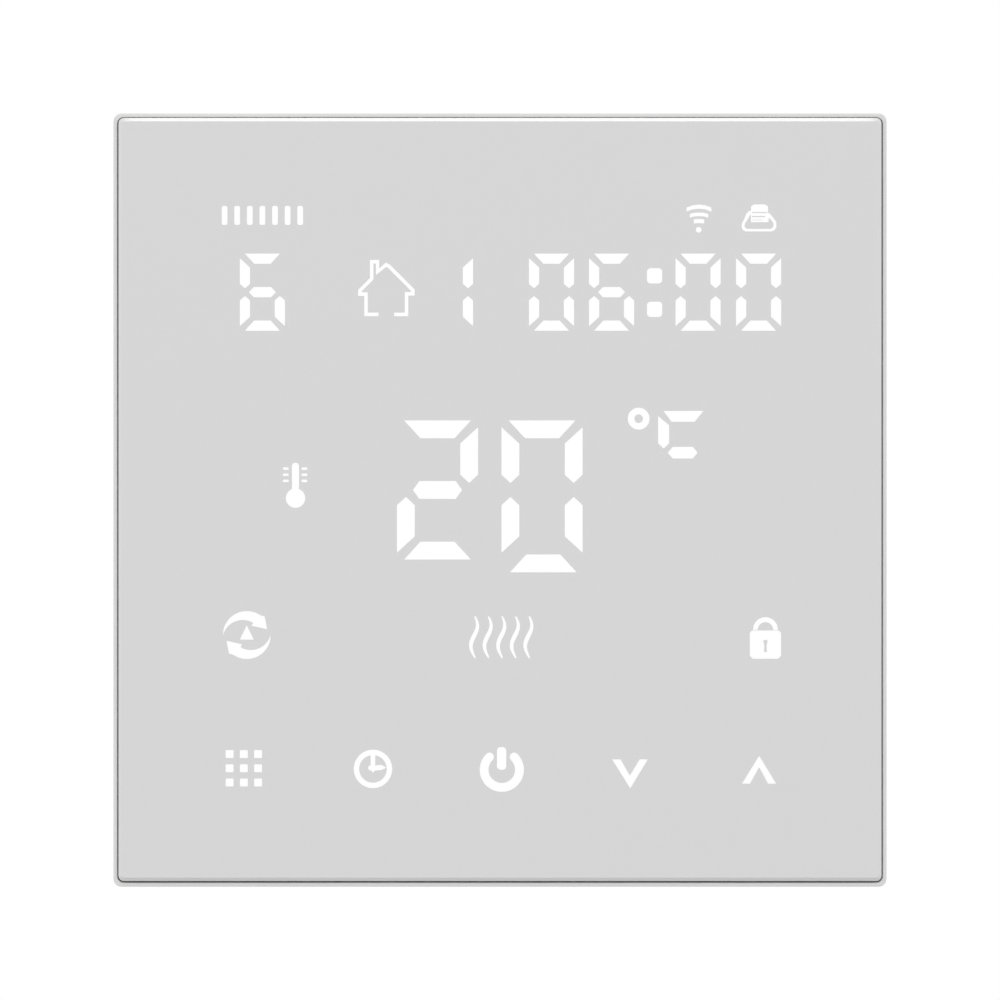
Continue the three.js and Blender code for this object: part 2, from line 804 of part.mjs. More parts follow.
addPiece(rearUnit, "capacitor_large", standingCan(5, 16, -14, 13), "capacitorSleeve");
addPiece(rearUnit, "capacitor_small", standingCan(3.15, 11, -4.2, 16.5), "capacitorSleeve");
addPiece(rearUnit, "varistor", varistor(), "varistorBlue");
addPiece(rearUnit, "fuse", fuse(), "ceramic");
addPiece(rearUnit, "terminal_block", terminalBlock(), "terminalGreen");
terminalColumns.forEach((x, i) => {
  addPiece(rearUnit, `terminal_screw_${i + 1}`, terminalScrew(x), "tinnedSteel");
  addPiece(rearUnit, `clamp_cage_${i + 1}`, clampCage(x), "nickelBrass");
});

export default thermostat;
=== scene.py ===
import json
import math
import bpy
import bmesh
from mathutils import Matrix, Vector

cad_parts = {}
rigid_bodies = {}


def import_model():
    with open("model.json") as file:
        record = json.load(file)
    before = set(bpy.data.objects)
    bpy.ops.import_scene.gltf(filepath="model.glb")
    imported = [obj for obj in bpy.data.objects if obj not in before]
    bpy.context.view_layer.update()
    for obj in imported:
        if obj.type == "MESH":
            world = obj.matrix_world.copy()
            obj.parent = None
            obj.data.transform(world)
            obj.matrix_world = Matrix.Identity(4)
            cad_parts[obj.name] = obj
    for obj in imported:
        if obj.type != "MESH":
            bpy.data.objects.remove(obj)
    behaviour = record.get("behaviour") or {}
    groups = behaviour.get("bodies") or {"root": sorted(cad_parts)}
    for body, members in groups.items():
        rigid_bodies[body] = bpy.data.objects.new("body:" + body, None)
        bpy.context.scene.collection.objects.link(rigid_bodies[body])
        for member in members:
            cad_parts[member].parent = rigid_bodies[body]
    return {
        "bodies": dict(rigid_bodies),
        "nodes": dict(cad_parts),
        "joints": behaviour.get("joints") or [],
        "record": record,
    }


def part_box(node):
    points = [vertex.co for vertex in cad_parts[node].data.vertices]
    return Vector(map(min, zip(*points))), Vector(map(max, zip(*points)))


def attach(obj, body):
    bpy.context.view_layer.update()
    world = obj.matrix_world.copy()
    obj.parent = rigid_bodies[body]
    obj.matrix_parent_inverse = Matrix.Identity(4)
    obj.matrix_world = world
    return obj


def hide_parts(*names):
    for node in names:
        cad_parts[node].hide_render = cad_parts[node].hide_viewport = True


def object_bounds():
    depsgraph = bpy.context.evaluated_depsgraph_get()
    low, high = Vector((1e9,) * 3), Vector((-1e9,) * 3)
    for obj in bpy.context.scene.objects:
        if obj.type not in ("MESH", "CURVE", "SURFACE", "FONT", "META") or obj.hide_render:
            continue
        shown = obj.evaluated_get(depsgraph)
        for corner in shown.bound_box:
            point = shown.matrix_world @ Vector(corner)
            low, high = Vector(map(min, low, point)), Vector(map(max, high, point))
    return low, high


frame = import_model()
cadLow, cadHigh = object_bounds()
nodes = frame["nodes"]
mm = 0.001
print("frame loaded:", len(nodes), "nodes")


# a CAD node's low corner, high corner and centre, in mm
def boxOf(node):
    low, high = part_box(node)
    return low / mm, high / mm, (low + high) / 2 / mm


def addObject(name, data):
    piece = bpy.data.objects.new(name, data)
    bpy.context.scene.collection.objects.link(piece)
    return piece


# a node with its inputs set to the values given, or linked where they are sockets
def addNode(tree, kind, inputs):
    made = tree.nodes.new(kind)
    for label, value in inputs.items():
        if isinstance(value, bpy.types.NodeSocket):
            tree.links.new(value, made.inputs[label])
        else:
            made.inputs[label].default_value = value
    return made


def worked(tree, operation, *values):
    step = addNode(tree, "ShaderNodeMath", dict(enumerate(values)))
    step.operation = operation
    return step.outputs[0]


def stretched(tree, value, fromLow=0.0, fromHigh=1.0, toLow=0.0, toHigh=1.0):
    return addNode(tree, "ShaderNodeMapRange", {
        "Value": value, "From Min": fromLow, "From Max": fromHigh, "To Min": toLow, "To Max": toHigh,
    }).outputs[0]


studio = {
    "lens": 200,  # long lens, so that the front stays square on
    "cameraDistance": 0.617,  # from the touch face
    "skyTop": 0.78,
    "skyLevel": 1.0,
    "skyLow": 0.5,
    "floorDrop": 0.5,  # below the centre of the front
    "floorRadius": 1.8,
    "floorColor": (0.6, 0.6, 0.6, 1),
    "topLight": {"spot": (0, 0.04, 1.0), "size": 0.3, "strength": 0.85},
    "sideLight": {"spot": (-0.8, -0.5, 0.25), "size": 0.5, "strength": 0.2},
}


def makeCamera():
    camera = bpy.data.cameras.new("camera")
    camera.lens = studio["lens"]
    camera.clip_end = 20
    holder = addObject("camera", camera)
    holder.location = (0, cadLow.y - studio["cameraDistance"], 0)
    holder.rotation_euler = (math.radians(90), 0, 0)
    bpy.context.scene.camera = holder


# an even white room, brighter overhead and darker underfoot
def makeWorld():
    world = bpy.data.worlds.new("softRoom")
    world.use_nodes = True
    bpy.context.scene.world = world
    tree = world.node_tree
    background = tree.nodes["Background"]
    direction = tree.nodes.new("ShaderNodeTexCoord")
    split = addNode(tree, "ShaderNodeSeparateXYZ", {0: direction.outputs["Generated"]})
    ramp = addNode(tree, "ShaderNodeValToRGB", {0: stretched(tree, split.outputs["Z"], -1)})
    tree.links.new(ramp.outputs[0], background.inputs["Color"])
    stops = ramp.color_ramp.elements
    stops[0].position = 0.1
    stops[0].color = [studio["skyLow"]] * 3 + [1]
    stops[1].position = 0.9
    stops[1].color = [studio["skyTop"]] * 3 + [1]
    for height in (0.45, 0.55):
        stops.new(height).color = [studio["skyLevel"]] * 3 + [1]


def makeAreaLight(name):
    lamp = bpy.data.lights.new(name, "AREA")
    lamp.shape = "DISK"
    lamp.size = studio[name]["size"]
    lamp.energy = studio[name]["strength"]
    holder = addObject(name, lamp)
    holder.location = studio[name]["spot"]
    holder.rotation_euler = (-holder.location).to_track_quat("-Z", "Y").to_euler()


def makeFloor():
    mesh = bpy.data.meshes.new("floor")
    bm = bmesh.new()
    bmesh.ops.create_circle(bm, cap_ends=True, segments=96, radius=studio["floorRadius"])
    bm.to_mesh(mesh)
    bm.free()
    floor = addObject("floor", mesh)
    floor.location.z = -studio["floorDrop"]
    pale = bpy.data.materials.new("paleFloor")
    pale.use_nodes = True
    shader = pale.node_tree.nodes["Principled BSDF"]
    shader.inputs["Base Color"].default_value = studio["floorColor"]
    shader.inputs["Roughness"].default_value = 0.8
    mesh.materials.append(pale)


makeCamera()
makeWorld()
makeAreaLight("topLight")
makeAreaLight("sideLight")
makeFloor()
bpy.context.scene.view_settings.view_transform = "Standard"
print("studio set")


def newFinish(name, color, roughness, metallic=0.0, coat=0.0, coatRoughness=0.05):
    finish = bpy.data.materials.new(name)
    finish.use_nodes = True
    shader = finish.node_tree.nodes["Principled BSDF"]
    for label, value in (("Base Color", (*color, 1)), ("Roughness", roughness), ("Metallic", metallic),
                         ("Coat Weight", coat), ("Coat Roughness", coatRoughness)):
        shader.inputs[label].default_value = value
    return finish


# object space in metres, for the finish's patterns
def patternSpace(finish, stretchBy=(1, 1, 1)):
    tree = finish.node_tree
    coordinates = tree.nodes.new("ShaderNodeTexCoord").outputs["Object"]
    return addNode(tree, "ShaderNodeMapping", {"Vector": coordinates, "Scale": stretchBy}).outputs[0]


def addNoise(finish, scale, detail=3, stretchBy=(1, 1, 1)):
    return addNode(finish.node_tree, "ShaderNodeTexNoise", {
        "Scale": scale, "Detail": detail, "Vector": patternSpace(finish, stretchBy),
    }).outputs[0]


def bumpFrom(finish, value, height, strength=1.0):
    tree = finish.node_tree
    bump = addNode(tree, "ShaderNodeBump", {"Strength": strength, "Distance": height, "Height": value})
    shader = tree.nodes["Principled BSDF"]
    earlier = shader.inputs["Normal"].links
    if earlier:
        tree.links.new(earlier[0].from_socket, bump.inputs["Normal"])
    tree.links.new(bump.outputs[0], shader.inputs["Normal"])


def tintFrom(finish, value, low, high, start=0.3, stop=0.7):
    tree = finish.node_tree
    ramp = addNode(tree, "ShaderNodeValToRGB", {0: value})
    ends = ramp.color_ramp.elements
    ends[0].position = start
    ends[0].color = (*low, 1)
    ends[1].position = stop
    ends[1].color = (*high, 1)
    tree.links.new(ramp.outputs[0], tree.nodes["Principled BSDF"].inputs["Base Color"])


def roughFrom(finish, value, low, high):
    tree = finish.node_tree
    span = stretched(tree, value, 0.3, 0.7, low, high)
    tree.links.new(span, tree.nodes["Principled BSDF"].inputs["Roughness"])


def scaled(color, factor):
    return tuple(min(1, c * factor) for c in color)


# grain is how fine the moulded texture is, relief how deep
def mouldedPlastic(name, color, roughness, grain=9000, relief=0.35, mottle=0.02):
    finish = newFinish(name, color, roughness)
    tintFrom(finish, addNoise(finish, 60), scaled(color, 1 - mottle), scaled(color, 1 + mottle))
    roughFrom(finish, addNoise(finish, 220, 4), roughness - 0.05, roughness + 0.06)
    bumpFrom(finish, addNoise(finish, grain, 2), 0.00002, relief)
    return finish


def backPaintedGlass():
    color = (0.815, 0.815, 0.815)
    finish = newFinish("backPaintedGlass", color, 0.42, coat=1.0, coatRoughness=0.04)
    tintFrom(finish, addNoise(finish, 2400, 2), scaled(color, 0.997), scaled(color, 1.003))
    return finish


def litInk():
    finish = newFinish("litInk", (0.82, 0.82, 0.82), 0.5)
    shader = finish.node_tree.nodes["Principled BSDF"]
    shader.inputs["Emission Color"].default_value = (1, 1, 1, 1)
    shader.inputs["Emission Strength"].default_value = 0.345
    tintFrom(finish, addNoise(finish, 1500, 2), (0.81, 0.81, 0.81), (0.84, 0.84, 0.84))
    return finish


# along is the axis that the drawing or rolling marks run along
def drawnMetal(name, color, roughness, along="Z", depth=0.4):
    finish = newFinish(name, color, roughness, metallic=1.0)
    stretchBy = [0.06 if axis == along else 1 for axis in "XYZ"]
    tintFrom(finish, addNoise(finish, 130), scaled(color, 0.95), scaled(color, 1.04))
    roughFrom(finish, addNoise(finish, 160, 4), roughness - 0.06, roughness + 0.1)
    bumpFrom(finish, addNoise(finish, 5200, 3, stretchBy), 0.000008, depth)
    return finish


# solder mask over bundles of tracks that run one way or the other from patch to patch
def maskedBoard(name, dark, light):
    finish = newFinish(name, dark, 0.38, coat=0.25, coatRoughness=0.2)
    tree = finish.node_tree
    space = patternSpace(finish)
    patches = addNode(tree, "ShaderNodeTexVoronoi", {"Scale": 125, "Vector": space})
    patches.distance = "CHEBYCHEV"
    choice = addNode(tree, "ShaderNodeSeparateColor", {0: patches.outputs["Color"]})
    tracks = []
    for axis, part in (("X", "Red"), ("Z", "Green")):
        wave = addNode(tree, "ShaderNodeTexWave", {"Scale": 230, "Vector": space})
        wave.bands_direction = axis
        line = stretched(tree, wave.outputs["Fac"], 0.78, 0.9)
        chosen = worked(tree, "GREATER_THAN", choice.outputs[part], 0.62)
        tracks.append(worked(tree, "MULTIPLY", line, chosen))
    either = worked(tree, "MAXIMUM", *tracks)
    tintFrom(finish, either, dark, light)
    bumpFrom(finish, either, 0.00003, 0.6)
    bumpFrom(finish, addNoise(finish, 3000), 0.00001, 0.3)
    return finish


# even turns along Y, with painted shade darkening the grooves between the turns
def woundWire(name, color, turnsPerMetre, metallic):
    finish = newFinish(name, color, 0.3, metallic, coat=0.6)
    wave = addNode(finish.node_tree, "ShaderNodeTexWave", {
        "Scale": turnsPerMetre / 3.1416, "Distortion": 0.4, "Vector": patternSpace(finish),
    })
    wave.bands_direction = "Y"
    # painted shade: the colour falls to 0.45 of itself in the grooves between turns
    tintFrom(finish, wave.outputs[0], scaled(color, 0.45), color, 0.1, 0.6)
    bumpFrom(finish, wave.outputs[0], 0.0001, 0.8)
    return finish


finishes = {
    "panel": backPaintedGlass(),
    "ink": litInk(),
    "frame": mouldedPlastic("framePlastic", (0.86, 0.86, 0.855), 0.36),
    "box": mouldedPlastic("boxPlastic", (0.74, 0.74, 0.72), 0.46, 4000, 0.8),
    "tape": mouldedPlastic("foamTape", (0.02, 0.02, 0.022), 0.9, 2500, 1.0, 0.2),
    "film": mouldedPlastic("diffuserFilm", (0.84, 0.85, 0.86), 0.5, 12000, 0.2),
    "shell": mouldedPlastic("reflectorPlastic", (0.82, 0.81, 0.78), 0.42),
    "plate": drawnMetal("zincPlate", (0.58, 0.60, 0.63), 0.36, "X"),
    "plated": drawnMetal("platedSteel", (0.52, 0.52, 0.51), 0.34, "Y", 0.2),
    "spring": drawnMetal("springWire", (0.52, 0.53, 0.55), 0.3, "Y", 0.2),
    "iron": drawnMetal("softIron", (0.38, 0.39, 0.41), 0.42, "Z"),
    "brass": drawnMetal("nickelledBrass", (0.62, 0.56, 0.40), 0.3, "Y", 0.3),
    "gold": drawnMetal("goldFlash", (0.85, 0.62, 0.27), 0.25, "Y", 0.1),
    "solder": drawnMetal("solderTin", (0.62, 0.62, 0.6), 0.32, "Z", 0.2),
    "board": maskedBoard("greenBoard", (0.012, 0.085, 0.035), (0.02, 0.13, 0.055)),
    "blueBoard": maskedBoard("blueBoard", (0.01, 0.03, 0.085), (0.015, 0.045, 0.125)),
    "chip": mouldedPlastic("chipEpoxy", (0.014, 0.014, 0.015), 0.55, 5000, 0.6, 0.1),
    "black": mouldedPlastic("blackPlastic", (0.018, 0.018, 0.02), 0.42, 7000, 0.5, 0.1),
    "relay": mouldedPlastic("relayBlue", (0.025, 0.11, 0.42), 0.34, 8000, 0.3),
    "copper": woundWire("copperWire", (0.50, 0.17, 0.05), 5000, 0.85),
    "ferrite": mouldedPlastic("ferrite", (0.045, 0.045, 0.048), 0.62, 3500, 0.9, 0.15),
    "windingTape": woundWire("windingTape", (0.66, 0.46, 0.05), 500, 0),
    "sleeve": mouldedPlastic("capacitorSleeve", (0.02, 0.022, 0.03), 0.24, 9000, 0.1, 0.1),
    "disc": mouldedPlastic("varistorResin", (0.02, 0.08, 0.35), 0.3, 1500, 0.7, 0.08),
    "ceramic": mouldedPlastic("fuseCeramic", (0.72, 0.67, 0.55), 0.35, 2500, 0.4),
    "green": mouldedPlastic("terminalGreen", (0.03, 0.25, 0.085), 0.44, 6000, 0.5),
    "tan": mouldedPlastic("chipCapacitor", (0.33, 0.2, 0.1), 0.5, 6000, 0.4, 0.08),
}
print("finishes made:", len(finishes))

# every solid gets a finish; the ones that a finer piece replaces keep it unseen
touchKeys = ("menu", "clock", "power", "down", "up")
finishOf = {
    "panel": ["touch_panel"],
    "tape": ["panel_tape"],
    "frame": ["front_frame", "snap_claw_top", "snap_claw_bottom"],
    "film": ["display_film"],
    "shell": ["display_shell"],
    "board": ["control_board", "power_board"],
    "blueBoard": ["wifi_board"],
    "plated": ["wifi_shield", "backup_cell"],
    "chip": ["main_chip", "touch_chip", "room_sensor"],
    "black": ["buzzer", "header_socket", "pin_header", "relay_base"],
    "plate": ["mounting_plate"],
    "box": ["rear_box", "box_lid"],
    "relay": ["relay_case"],
    "iron": ["relay_yoke", "relay_armature"],
    "copper": ["relay_coil"],
    "ferrite": ["transformer_core"],
    "windingTape": ["transformer_winding"],
    "sleeve": ["capacitor_large", "capacitor_small"],
    "disc": ["varistor"],
    "ceramic": ["fuse"],
    "green": ["terminal_block"],
}
finishOf["plated"] += ["board_screw_" + str(i) for i in range(1, 5)]
finishOf["plated"] += ["terminal_screw_" + str(i) for i in range(1, 7)]
finishOf["plated"] += [kind + "_screw_" + side for kind in ("lid", "wall") for side in ("left", "right")]
finishOf["spring"] = ["touch_spring_" + key for key in touchKeys]
finishOf["brass"] = ["clamp_cage_" + str(i) for i in range(1, 7)]
for finishName, solids in finishOf.items():
    for solid in solids:
        for materialSlot in nodes[solid].material_slots:
            materialSlot.material = finishes[finishName]
print("solids finished:", sum(len(solids) for solids in finishOf.values()))


def arcPoints(centre, radius, fromDeg, toDeg, steps):
    turns = [math.radians(fromDeg + (toDeg - fromDeg) * i / steps) for i in range(steps + 1)]
    return [(centre[0] + radius * math.cos(a), centre[1] + radius * math.sin(a)) for a in turns]


def circle(centre, radius, steps=40):
    return arcPoints(centre, radius, 0, 360, steps)[:-1]


def roundedBox(left, right, low, high, radius, steps=5):
    loop = []
    for turn, x, z in ((0, right - radius, high - radius), (90, left + radius, high - radius),
                       (180, left + radius, low + radius), (270, right - radius, low + radius)):
        loop += arcPoints((x, z), radius, turn, turn + 90, steps)
    return loop


# one closed loop round a line, mitred at its corners
def strokeOutline(path, width, endWidth=None):
    count = len(path)
    sides = [[], []]
    for i, (x, z) in enumerate(path):
        before = Vector(path[max(i - 1, 0)])
        after = Vector(path[min(i + 1, count - 1)])
        here = Vector((x, z))
        into = (here - before).normalized() if i else (after - here).normalized()
        out = (after - here).normalized() if i < count - 1 else into
        normal = Vector((-(into + out).y, (into + out).x)).normalized()
        miter = min(2.0, 1 / max(0.2, normal.dot(Vector((-into.y, into.x)))))
        t = i / (count - 1)
        wide = width if endWidth is None else endWidth + (width - endWidth) * math.sin(math.pi * t)
        sides[0].append(tuple(here + normal * miter * wide / 2))
        sides[1].append(tuple(here - normal * miter * wide / 2))
    return sides[0] + sides[1][::-1]


# the object's evaluated shape becomes its plain mesh
def baked(piece):
    seen = piece.evaluated_get(bpy.context.evaluated_depsgraph_get())
    mesh = bpy.data.meshes.new_from_object(seen)
    piece.modifiers.clear()
    piece.data = mesh
    mesh.name = piece.name
    return piece


# joins points closer than gap; flat merges the faces that lie in one plane
def welded(mesh, gap, flat=False, outward=False, place=None):
    bm = bmesh.new()
    bm.from_mesh(mesh)
    if place:
        bm.transform(place)
    bmesh.ops.remove_doubles(bm, verts=bm.verts, dist=gap)
    if flat:
        bmesh.ops.dissolve_limit(bm, angle_limit=math.radians(0.6), verts=bm.verts, edges=bm.edges)
    if outward:
        bmesh.ops.recalc_face_normals(bm, faces=bm.faces)
    bm.to_mesh(mesh)
    bm.free()


def solidOf(name, curve, place):
    source = addObject(name + "Line", curve)
    mesh = bpy.data.meshes.new_from_object(source.evaluated_get(bpy.context.evaluated_depsgraph_get()))
    bpy.data.objects.remove(source)
    welded(mesh, 1e-6, outward=True, place=place)
    mesh.materials.clear()
    return addObject(name, mesh)


# loops in X and Z, in mm, filled and carried from front to back along Y
def flatSolid(name, loops, front, back):
    curve = bpy.data.curves.new(name, "CURVE")
    curve.dimensions = "2D"
    curve.fill_mode = "BOTH"
    curve.extrude = (back - front) / 2 * mm
    for loop in loops:
        line = curve.splines.new("POLY")
        line.points.add(len(loop) - 1)
        for point, (x, z) in zip(line.points, loop):
            point.co = (x * mm, z * mm, 0, 1)
        line.use_cyclic_u = True
    upright = Matrix.Rotation(math.radians(90), 4, "X")
    return solidOf(name, curve, Matrix.Translation((0, (front + back) / 2 * mm, 0)) @ upright)


# rounds the edges; held keeps each rounding shorter than the shortest edge of the whole piece
def roundEdges(piece, width, segments=3, held=False):
    bevel = piece.modifiers.new("roundedEdges", "BEVEL")
    bevel.width = width * mm
    bevel.segments = segments
    bevel.limit_method = "ANGLE"
    bevel.angle_limit = math.radians(35)
    bevel.use_clamp_overlap = held
    piece.data.shade_smooth()
    return evenShading(piece)


# keeps the large faces looking flat beside their rounded edges
def evenShading(piece):
    weighted = piece.modifiers.new("flatFaces", "WEIGHTED_NORMAL")
    weighted.weight = 100
    weighted.keep_sharp = True
    return baked(piece)


def dress(piece, body, finish, slot, *replaced):
    piece.data.materials.clear()
    piece.data.materials.append(finishes[finish])
    if replaced:
        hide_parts(*replaced)
    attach(piece, body)
    return piece


# the node's own shape with its triangles merged and its edges rounded
def refinedCopy(name, node, width, segments=2, held=False):
    mesh = nodes[node].data.copy()
    mesh.name = name
    welded(mesh, 4e-5, flat=True)
    mesh.materials.clear()
    return roundEdges(addObject(name, mesh), width, segments, held)


# rows of name, node, edge, body, finish and slot
def refineAll(rows):
    for name, node, edge, body, finish, slot in rows:
        dress(refinedCopy(name, node, edge), body, finish, slot, node)


def newTree(name, inputs):
    tree = bpy.data.node_groups.new(name, "GeometryNodeTree")
    tree.interface.new_socket("Geometry", in_out="OUTPUT", socket_type="NodeSocketGeometry")
    for label, kind in inputs.items():
        tree.interface.new_socket(label, in_out="INPUT", socket_type="NodeSocket" + kind)
    return tree, tree.nodes.new("NodeGroupInput")


# realises and paints the shape, and hands it out
def endTree(tree, shape, given):
    real = addNode(tree, "GeometryNodeRealizeInstances", {0: shape}).outputs[0]
    paint = addNode(tree, "GeometryNodeSetMaterial", {"Geometry": real, "Material": given.outputs["Material"]})
    addNode(tree, "NodeGroupOutput", {0: paint.outputs[0]})
    return tree


# instances the piece on a grid in the X and Z plane
def repeatTree(name):
    tree, given = newTree(name, {"Geometry": "Geometry", "Pitch X": "Float", "Pitch Z": "Float",
                                 "Count X": "Int", "Count Z": "Int", "Material": "Material"})
    grid = tree.nodes.new("GeometryNodeMeshGrid")
    for axis, gridAxis in (("X", "X"), ("Z", "Y")):
        count = given.outputs["Count " + axis]
        span = worked(tree, "MULTIPLY", worked(tree, "SUBTRACT", count, 1), given.outputs["Pitch " + axis])
        tree.links.new(span, grid.inputs["Size " + gridAxis])
        tree.links.new(count, grid.inputs["Vertices " + gridAxis])
    upright = addNode(tree, "GeometryNodeTransform", {
        "Geometry": grid.outputs["Mesh"], "Rotation": (math.radians(90), 0, 0),
    })
    spread = addNode(tree, "GeometryNodeInstanceOnPoints", {
        "Points": upright.outputs[0], "Instance": given.outputs["Geometry"],
    })
    return endTree(tree, spread.outputs[0], given)


def runTree(piece, tree, values):
    modifier = piece.modifiers.new(tree.name, "NODES")
    modifier.node_group = tree
    for item in tree.interface.items_tree:
        if item.item_type == "SOCKET" and item.in_out == "INPUT" and item.name in values:
            modifier[item.identifier] = values[item.name]
    piece.update_tag()
    return baked(piece)


gridTree = repeatTree("repeatOnGrid")


def combine(piece, other, operation="DIFFERENCE"):
    joining = piece.modifiers.new("combine", "BOOLEAN")
    joining.operation = operation
    joining.solver = "EXACT"
    joining.object = other
    baked(piece)
    bpy.data.objects.remove(other)
    bm = bmesh.new()
    bm.from_mesh(piece.data)
    bmesh.ops.remove_doubles(bm, verts=bm.verts, dist=2e-6)
    bmesh.ops.dissolve_degenerate(bm, edges=bm.edges, dist=1e-6)
    bm.to_mesh(piece.data)
    bm.free()
    return piece


def boxSolid(name, left, right, front, back, low, high):
    return flatSolid(name, [[(left, low), (right, low), (right, high), (left, high)]], front, back)


def pieceFrom(bm, name):
    bmesh.ops.recalc_face_normals(bm, faces=bm.faces)
    mesh = bpy.data.meshes.new(name)
    bm.to_mesh(mesh)
    bm.free()
    return addObject(name, mesh)


# a profile of radius and depth turned about Y; waver adds to the radius by angle and depth
def turnedSolid(name, profile, sides=40, waver=None):
    bm = bmesh.new()
    rings = []
    for radius, y in profile:
        if radius < 1e-6:
            rings.append([bm.verts.new((0, y * mm, 0))])
            continue
        ring = []
        for i in range(sides):
            turn = 2 * math.pi * i / sides
            reach = radius + (waver(turn, y) if waver else 0)
            ring.append(bm.verts.new((reach * mm * math.cos(turn), y * mm, reach * mm * math.sin(turn))))
        rings.append(ring)
    for near, far in zip(rings, rings[1:]):
        for i in range(sides):
            j = (i + 1) % sides
            loop = [near[i % len(near)], near[j % len(near)], far[j % len(far)], far[i % len(far)]]
            bm.faces.new(list(dict.fromkeys(loop)))
    return pieceFrom(bm, name)


def smoothRound(piece, angle=32):
    piece.data.shade_smooth()
    piece.data.set_sharp_from_angle(angle=math.radians(angle))
    return piece


def moved(piece, x=0, y=0, z=0, turnedOver=False):
    if turnedOver:
        piece.data.transform(Matrix.Rotation(math.radians(180), 4, "X"))
    piece.data.transform(Matrix.Translation((x * mm, y * mm, z * mm)))
    return piece


def copyOf(piece, name):
    mesh = piece.data.copy()
    mesh.name = name
    return addObject(name, mesh)


# repeats the piece on the grid and moves the whole set to its centre
def repeated(piece, finish, centre, countX, countZ, pitchX, pitchZ):
    runTree(piece, gridTree, {
        "Pitch X": pitchX * mm,
        "Pitch Z": pitchZ * mm,
        "Count X": countX,
        "Count Z": countZ,
        "Material": finishes[finish],
    })
    return moved(piece, centre[0], 0, centre[1])


# lift: how high the glass sits in its frame
panel = {"size": 84.8, "corner": 0.6, "edge": 0.4, "lift": 0.06, "inkProud": 0.02}
inkFront = boxOf("touch_panel")[0].y
panelBack = boxOf("touch_panel")[1].y
panelFront = inkFront + panel["inkProud"]


def makeTouchPanel():
    half = panel["size"] / 2
    loop = roundedBox(-half, half, panel["lift"] - half, panel["lift"] + half, panel["corner"], 8)
    glass = flatSolid("touchGlass", [loop], panelFront, panelBack)
    chamfer = glass.modifiers.new("groundEdge", "BEVEL")
    chamfer.width = panel["edge"] * mm
    chamfer.segments = 1
    chamfer.limit_method = "ANGLE"
    chamfer.angle_limit = math.radians(50)
    chamfer.use_clamp_overlap = False
    smoothRound(baked(glass), 30)
    return dress(glass, "front_unit", "panel", "painted_glass", "touch_panel")


makeTouchPanel()
print("touch panel made")


digits = {
    "small": {"halfWide": 2.5, "halfTall": 4.28, "stroke": 1.12, "corner": 0.52, "tip": 0.44,
              "shoulder": 0.92, "barHalf": 1.5, "point": 0.55},
    "big": {"halfWide": 4.5, "halfTall": 7.72, "stroke": 1.97, "corner": 0.76, "tip": 0.78,
            "shoulder": 1.7, "barHalf": 2.72, "point": 0.7},
    "cut": 0.92,  # how steeply the bars' ends are cut
    "smallRow": 23.08,
    "bigRow": 1.11,
    "smallPlaces": [(-26.39, "acdefg"), (-5.5, "bc"), (5.72, "abcdef"), (12.39, "acdefg"),
                    (22.0, "abcdef"), (28.72, "abcdef")],
    "bigPlaces": [(-6.94, "abdeg", 0, 0), (4.67, "abcdef", 1.42, 0.14)],  # with drop and aside
    "colon": (17.17, 24.89, 21.17),
    "colonHalf": 0.84,
}


# the lit bars of one digit; drop and aside move the lowest bar
def segmentLoops(centreX, centreZ, size, lit, drop=0, aside=0):
    wide = size["halfWide"]
    tall = size["halfTall"]
    stroke = size["stroke"]
    slant = stroke * digits["cut"]
    corner = size["corner"]
    shoulder = size["shoulder"]
    tip = size["tip"]
    bar = size["barHalf"]
    long = wide - corner - 0.04
    upright = [(wide, tall - corner), (wide, shoulder), (wide - stroke / 2, tip),
               (wide - stroke, shoulder), (wide - stroke, tall - corner - slant)]
    lid = [(-long, tall), (long, tall), (long - slant, tall - stroke), (slant - long, tall - stroke)]
    middle = [(-bar, 0), (size["point"] - bar, -stroke / 2), (bar - size["point"], -stroke / 2),
              (bar, 0), (bar - size["point"], stroke / 2), (size["point"] - bar, stroke / 2)]
    shapes = {
        "a": lid,
        "b": upright,
        "c": [(x, -z) for x, z in upright],
        "d": [(x + aside, -z - drop) for x, z in lid],
        "e": [(-x, -z) for x, z in upright],
        "f": [(-x, z) for x, z in upright],
        "g": middle,
    }
    return [[(centreX + x, centreZ + z) for x, z in shapes[key]] for key in lit]


def inked(name, loops):
    piece = flatSolid(name, loops, inkFront, panelFront + 0.1)
    return dress(piece, "front_unit", "ink", "diffuser_film")


def makeDigits():
    loops = []
    for x, lit in digits["smallPlaces"]:
        loops += segmentLoops(x, digits["smallRow"], digits["small"], lit)
    colonX, highZ, lowZ = digits["colon"]
    half = digits["colonHalf"]
    for z in (highZ, lowZ):
        loops.append(roundedBox(colonX - half, colonX + half, z - half, z + half, 0.4))
    inked("clockDigits", loops)
    loops = []
    for x, lit, drop, aside in digits["bigPlaces"]:
        loops += segmentLoops(x, digits["bigRow"], digits["big"], lit, drop, aside)
    inked("temperatureDigits", loops)


def makeUnit():
    ring = [circle((15.4, 9.03), 1.21), circle((15.4, 9.03), 0.49, 24)]
    letter = [
        [(18.16, 9.88), (22.58, 9.88), (21.61, 8.69), (19.06, 8.69)],
        [(17.56, 9.3), (18.78, 8.3), (18.78, 6.3), (18.17, 5.72), (17.56, 6.3)],
        [(18.63, 5.25), (19.2, 4.61), (21.4, 4.61), (21.94, 5.25), (21.4, 5.89), (19.2, 5.89)],
    ]
    inked("degreeUnit", ring + letter)


makeDigits()
makeUnit()
print("digits made")


